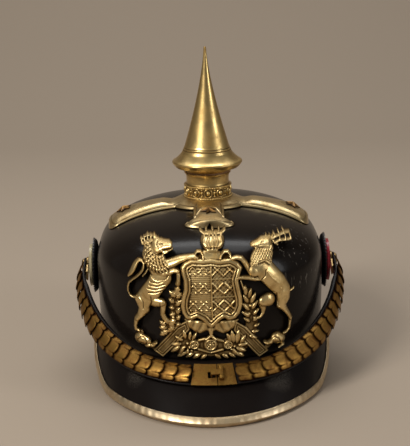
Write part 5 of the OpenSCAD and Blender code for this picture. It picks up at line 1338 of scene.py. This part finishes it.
def make_straps():
    """Straps: a strip along the path with pressed borders, a padded back beside the skull and a
    rounded end past the post."""
    end = chin_len - strap_end_l
    s = np.concatenate([np.linspace(strap_from, end, 150),
                        end + strap_tip_l*np.sin(np.linspace(0, math.pi/2, 24)[1:])])
    k = np.concatenate([[-1, -0.97], np.linspace(-0.93, 0.93, 15), [0.97, 1]])[:, None]
    w = k*strap_half(s)[None]
    top = strap_t/2 - 0.35*np.clip((np.abs(k) - 0.9)/0.1, 0, 1)**2 - 0.18*bell(np.abs(k) - 0.8, 0.04)
    pad = strap_pad*smooth((s - 50)/50)*smooth((chin_len - 20 - s)/14)*(1 - 0.5*k**4)
    points, quads = sheet(chin_place(s[None], w, top), chin_place(s[None], w, -strap_t/2 - pad))
    both_sides("_strap_leather", "_strap", points, quads, strap_leather, "black_leather")


def lobe(k):
    """How far a scale's free edge reaches: a large half circle between two small ones."""
    a = np.abs(k)
    return (lobe_l*np.sqrt(np.maximum(0, 1 - (a/lobe_half)**2))
            + small_lobe_l*np.sqrt(np.maximum(0, 1 - ((a - small_lobe_at)/small_lobe_half)**2)))


def make_scales():
    """Scales: each is domed across, its free edge has a large lobe between two small ones and is
    lifted over the next scale, and its surface swells along each lobe."""
    k = np.sin(np.linspace(-1, 1, 41)*math.pi/2)*0.5 + np.linspace(-1, 1, 41)*0.5
    v = np.concatenate([np.linspace(0, 0.16, 5)[:-1], np.linspace(0.16, 1.12, 14)])
    kk, vv = np.meshgrid(k, v, indexing="ij")
    edge = np.maximum(np.clip(1 - vv/0.14, 0, 1), np.clip((np.abs(kk) - 0.93)/0.07, 0, 1))
    valley = bell(np.abs(kk) - 0.57, 0.07)*np.clip(1 - vv/0.8, 0, 1)
    height = (strap_t/2 + 0.25 + scale_dome*(1 - kk*kk) + scale_lift*(1 - vv) - 0.5*valley - 0.3*edge**2
              - 0.25*np.clip((vv - 1)/0.12, 0, 1))
    # Patina with painted shade: darker along the free edge and the sides, in the valleys by the lobes, and
    # towards the end under the next scale
    dark = np.clip(0.85*edge + 0.9*valley + 0.9*np.clip((vv - 0.78)/0.22, 0, 1)
                   + 0.6*np.clip((np.abs(kk) - 0.6)/0.4, 0, 1)**2, 0, 1).ravel()
    points, quads = [], []
    for i in range(scale_count):
        along = scales_from + i*scale_pitch + vv*(scale_pitch - scale_gap) - lobe(kk) + lobe_l
        low = height + 0.08*math.sin(i*2.3)
        p, q = sheet(chin_place(along, kk*scale_half, low + scale_t), chin_place(along, kk*scale_half, low))
        quads.append(q + len(p)*i)
        points.append(p)
    hollow = np.tile(np.concatenate([dark, np.ones_like(dark)]), scale_count)
    both_sides("_scale_row", "_scales", np.vstack(points), np.vstack(quads), scale_brass, "old_brass",
               values={"hollow": hollow})


# Cockades

def flutes(r, a):
    """Ripple of a cockade: waves round it that deepen towards its rim."""
    k = np.clip((r - 5)/(cockade_r - 5), 0, 1)
    return 0.35*np.cos(flute_count*a)*k**2, 0.4*np.cos(flute_count*a)*k**1.3


def make_cockades():
    """Cockades: a fluted black disc whose rim ripples, and a painted dish with a rolled rim."""
    disc = round_profile([(2.6, 0.1), (2.6, 1.1), (9, 1.15), (14, 1.25), (18.5, 2.3),
                          (cockade_r - 0.5, 3.2), (cockade_r - 0.35, 2.9), (cockade_r - 0.6, 2.3),
                          (19.4, 1.2), (14.4, 0.15)], 6)
    dish = round_profile([(2.6, 1.6), (2.6, 2.9), (8, 3.0), (11.5, 3.3), (15.3, 4.9), (dish_r, 6.3),
                          (dish_r - 0.1, 5.6), (15.9, 4.0), (12.2, 1.8)], 6)
    for side, name, paint, paint_slot in ((-1, "left", cream_enamel, "cream_paint"),
                                          (1, "right", red_enamel, "red_paint")):
        for label, profile, finish, ripple, slot in (("_cockade", disc, black_enamel, flutes,
                                                      "black_metal"),
                                                     ("_cockade_dish", dish, paint, None, paint_slot)):
            g = turned(np.vstack([profile, profile[:1]]), cockade_steps, ripple).reshape(-1, 3)
            g = np.stack([side*(g[:, 2] + cockade_x), g[:, 1], post_z - g[:, 0]], -1)
            quads = grid_quads(len(profile) + 1, cockade_steps, closed=True)[:, ::side]
            points, faces = weld(g, quads)
            make_piece(name + label + "_disc", points, faces, finish, covers=[name + label], slot=slot)


# Sweatband, lining and its cord

def make_sweatband():
    """Sweatband: a leather ring inside the rim with a rounded, stitched lower edge."""
    a = even_angles(300)
    low, high = rim_z + 0.6, rim_z + 0.6 + sweatband_h
    q = np.linspace(0, math.pi, 7)
    rounded = liner_d - sweatband_t*(1 - np.cos(q))/2
    face = np.linspace(low + 4, high - 1, 8)
    section = np.vstack([np.stack([rounded, low + 0.5 - 0.5*np.sin(q)], 1),
                         np.stack([liner_d - sweatband_t + 0*face, face], 1),
                         np.stack([rounded[::-1], high - 0.4 + 0.4*np.sin(q)], 1)])
    rows = np.stack([wall_point(a, z + 0*a, d) for d, z in [*section, section[0]]])
    grid_piece("sweatband_leather", rows, tan_leather, covers=["sweatband"], slot="tan_leather")
    b = even_angles(stitches)
    at = wall_point(b, low + stitch_z + 0*b, liner_d - sweatband_t)
    knobs("sweatband_stitches", at, -unit(at*[1, 1, 0]), [1.3, 0.35, 0.35], 6, dome_profile(3, 0.3),
          plaited, slot="tan_leather")


def liner_rows(more, gather=1.0):
    """Rows of the lining: up the sweatband, off it, and over the dome to the gathered opening,
    with pleats that deepen towards the cord."""
    a = even_angles(360)
    foot_d = liner_start - liner_foot_d - more
    rows = [wall_point(a, liner_low + liner_overlap*k + 0*a, liner_start - liner_lean*k - more)
            for k in np.linspace(0, 1, 7)]
    foot = rows.pop()
    start = dome_point(a, math.radians(liner_foot_angle) + 0*a, foot_d)
    rows += [foot*(1 - k) + start*k for k in np.linspace(0, 1, 6)[:-1]]
    waves = np.cos(pleats*ring_angles(len(a)))
    for q in np.linspace(0, 1, 40):
        up = math.radians(liner_foot_angle + liner_rise*q**1.2)
        rows.append(dome_point(a, up + 0*a, foot_d - 5*q + gather*pleat_depth*q**1.5*waves))
    return np.stack(rows)


def make_lining():
    """Lining: an outer and an inner face of the same rows, and the cord round its opening."""
    outer, inner = liner_rows(0.0), liner_rows(lining_t)
    grid_piece("lining_silk", np.concatenate([outer, inner[::-1], outer[:1]]), silk, covers=["lining"],
               slot="silk")
    path = liner_rows(lining_t + 1.3, gather=0.0)[-1]
    out = unit(path*[1, 1, 0])
    m = ring_angles(cord_sides)[:, None]
    r = cord_r + cord_swell*np.cos(3*m + cord_twists*ring_angles(len(path))[None])
    ring = path + r[..., None]*(np.cos(m)[..., None]*out + np.sin(m)[..., None]*[0, 0, 1.0])
    ring = np.concatenate([ring, ring[:1]])
    around, along = np.linspace(0, 1, len(ring)), np.linspace(0, 40, len(path))
    uv = np.stack(np.meshgrid(around, along, indexing="ij"), -1).reshape(-1, 2)[:, ::-1]
    make_piece("lining_cord", ring.reshape(-1, 3), grid_quads(len(ring), len(path), closed=True), plaited,
               covers=["lining_tie"], slot="cord", uv=uv)


for make in (make_skull, make_sweatband, make_lining, make_visors, make_trim, make_base, make_stars,
             make_neck, make_spike, make_front_plate, make_straps, make_scales, make_cockades):
    make()

finishes = {
    "gilt_brass": gilt, "old_brass": old_brass, "tan_leather": tan_leather, "black_leather": strap_leather,
    "green_leather": green_leather, "red_leather": red_leather, "trim_brass": trim_brass,
    "black_metal": black_enamel, "cream_paint": cream_enamel, "red_paint": red_enamel, "silk": silk,
    "cord": plaited}
slots = {s["node"]: s["material_slot"] for s in frame["record"]["subparts"]}
catch = ("left_end_plate", "right_end_plate", "catch_hook", "catch_pin")
for name, obj in frame["nodes"].items():
    for place in obj.material_slots:
        place.material = scale_brass if name in catch else finishes[slots[name]]


# Stage, light and camera. The camera's distances are in millimetres, its angles in degrees, and
# its focal length in pixels of the photograph, which is 410 pixels wide.
floor_half, bend_y, bend_r, backdrop_h = 3200, 900, 900, 3600
camera_far, camera_x, camera_z = 896.3, -2.8, 339.3
camera_turn, camera_pitch, camera_roll = -0.4, 14.54, 1.3
focal_pixels, picture_w = 1181.5, 410


def make_stage():
    """Floor and backdrop: one sheet that is level under the helmet and curves up behind it."""
    bend = np.linspace(0, math.pi/2, 60)[1:]
    run = np.concatenate([np.linspace(-2600, bend_y, 30), bend_y + bend_r*np.sin(bend), [bend_y + bend_r]])
    rise = np.concatenate([np.zeros(30), bend_r*(1 - np.cos(bend)), [backdrop_h]])
    x = np.linspace(-floor_half, floor_half, 9)
    g = np.stack([x[None] + 0*run[:, None], run[:, None] + 0*x, rise[:, None] + 0*x], -1)
    mesh = bpy.data.meshes.new("floor")
    mesh.from_pydata((g.reshape(-1, 3)*0.001).tolist(), [], grid_quads(len(run), len(x)).tolist())
    mesh.polygons.foreach_set("use_smooth", np.full(len(mesh.polygons), True))
    mesh.materials.append(material("pale floor", Base_Color=(0.34, 0.28, 0.22, 1), Roughness=0.9,
                                   Specular_IOR_Level=0.1)[0])
    floor = bpy.data.objects.new("floor", mesh)
    bpy.context.scene.collection.objects.link(floor)


def put(name, data, axes, at):
    """An object for a lamp or the camera, with its three axes and its place."""
    m = np.eye(4)
    m[:3] = np.column_stack([*axes, at])
    thing = bpy.data.objects.new(name, data)
    thing.matrix_world = Matrix(m.tolist())
    bpy.context.scene.collection.objects.link(thing)
    return thing


def area_light(name, at, target, size, energy, colour=(1, 1, 1)):
    """A rectangular lamp that faces its target."""
    data = bpy.data.lights.new(name, "AREA")
    data.shape, data.size, data.size_y = "RECTANGLE", size[0], size[1]
    data.energy, data.color = energy, colour
    z = unit(np.array(at, float) - np.array(target, float))
    x = unit(np.cross([0, 0, 1.0], z))
    put(name, data, (x, np.cross(z, x), z), at)


def make_camera():
    """The photograph's camera, which looks at the spike's axis from a turn, a pitch and a roll."""
    az, pitch, roll = (math.radians(v) for v in (camera_turn, camera_pitch, camera_roll))
    ahead = np.array([-math.sin(az)*math.cos(pitch), math.cos(az)*math.cos(pitch), -math.sin(pitch)])
    right = np.array([math.cos(az), math.sin(az), 0])
    up = np.cross(right, ahead)
    r, u = right*math.cos(roll) - up*math.sin(roll), right*math.sin(roll) + up*math.cos(roll)
    at = np.array([camera_x + math.sin(az)*camera_far, -math.cos(az)*camera_far + axis_y, camera_z])*0.001
    data = bpy.data.cameras.new("camera")
    data.sensor_fit, data.sensor_width = "HORIZONTAL", 36.0
    data.lens = focal_pixels/picture_w*36.0
    data.clip_start, data.clip_end = 0.05, 20.0
    bpy.context.scene.camera = put("camera", data, (r, u, -ahead), at)


make_stage()
middle = (0, 0, 0.10)
area_light("key light", (-0.9, -0.9, 1.1), middle, (0.5, 0.5), 20.0, (1.0, 0.97, 0.92))
area_light("right light", (1.1, -0.5, 0.6), middle, (0.3, 0.8), 4.0)
area_light("top light", (0.0, 0.4, 1.4), middle, (1.0, 0.6), 7.0)
area_light("backdrop light", (0.0, 0.8, 1.7), (0.0, 1.0, 0.0), (2.4, 0.4), 10.0)
make_camera()

scene = bpy.context.scene
scene.view_settings.view_transform = "Standard"
world = bpy.data.worlds.new("studio")
scene.world = world
world.use_nodes = True
background = world.node_tree.nodes["Background"]
background.inputs["Color"].default_value = (0.80, 0.76, 0.70, 1)
background.inputs["Strength"].default_value = 0.2
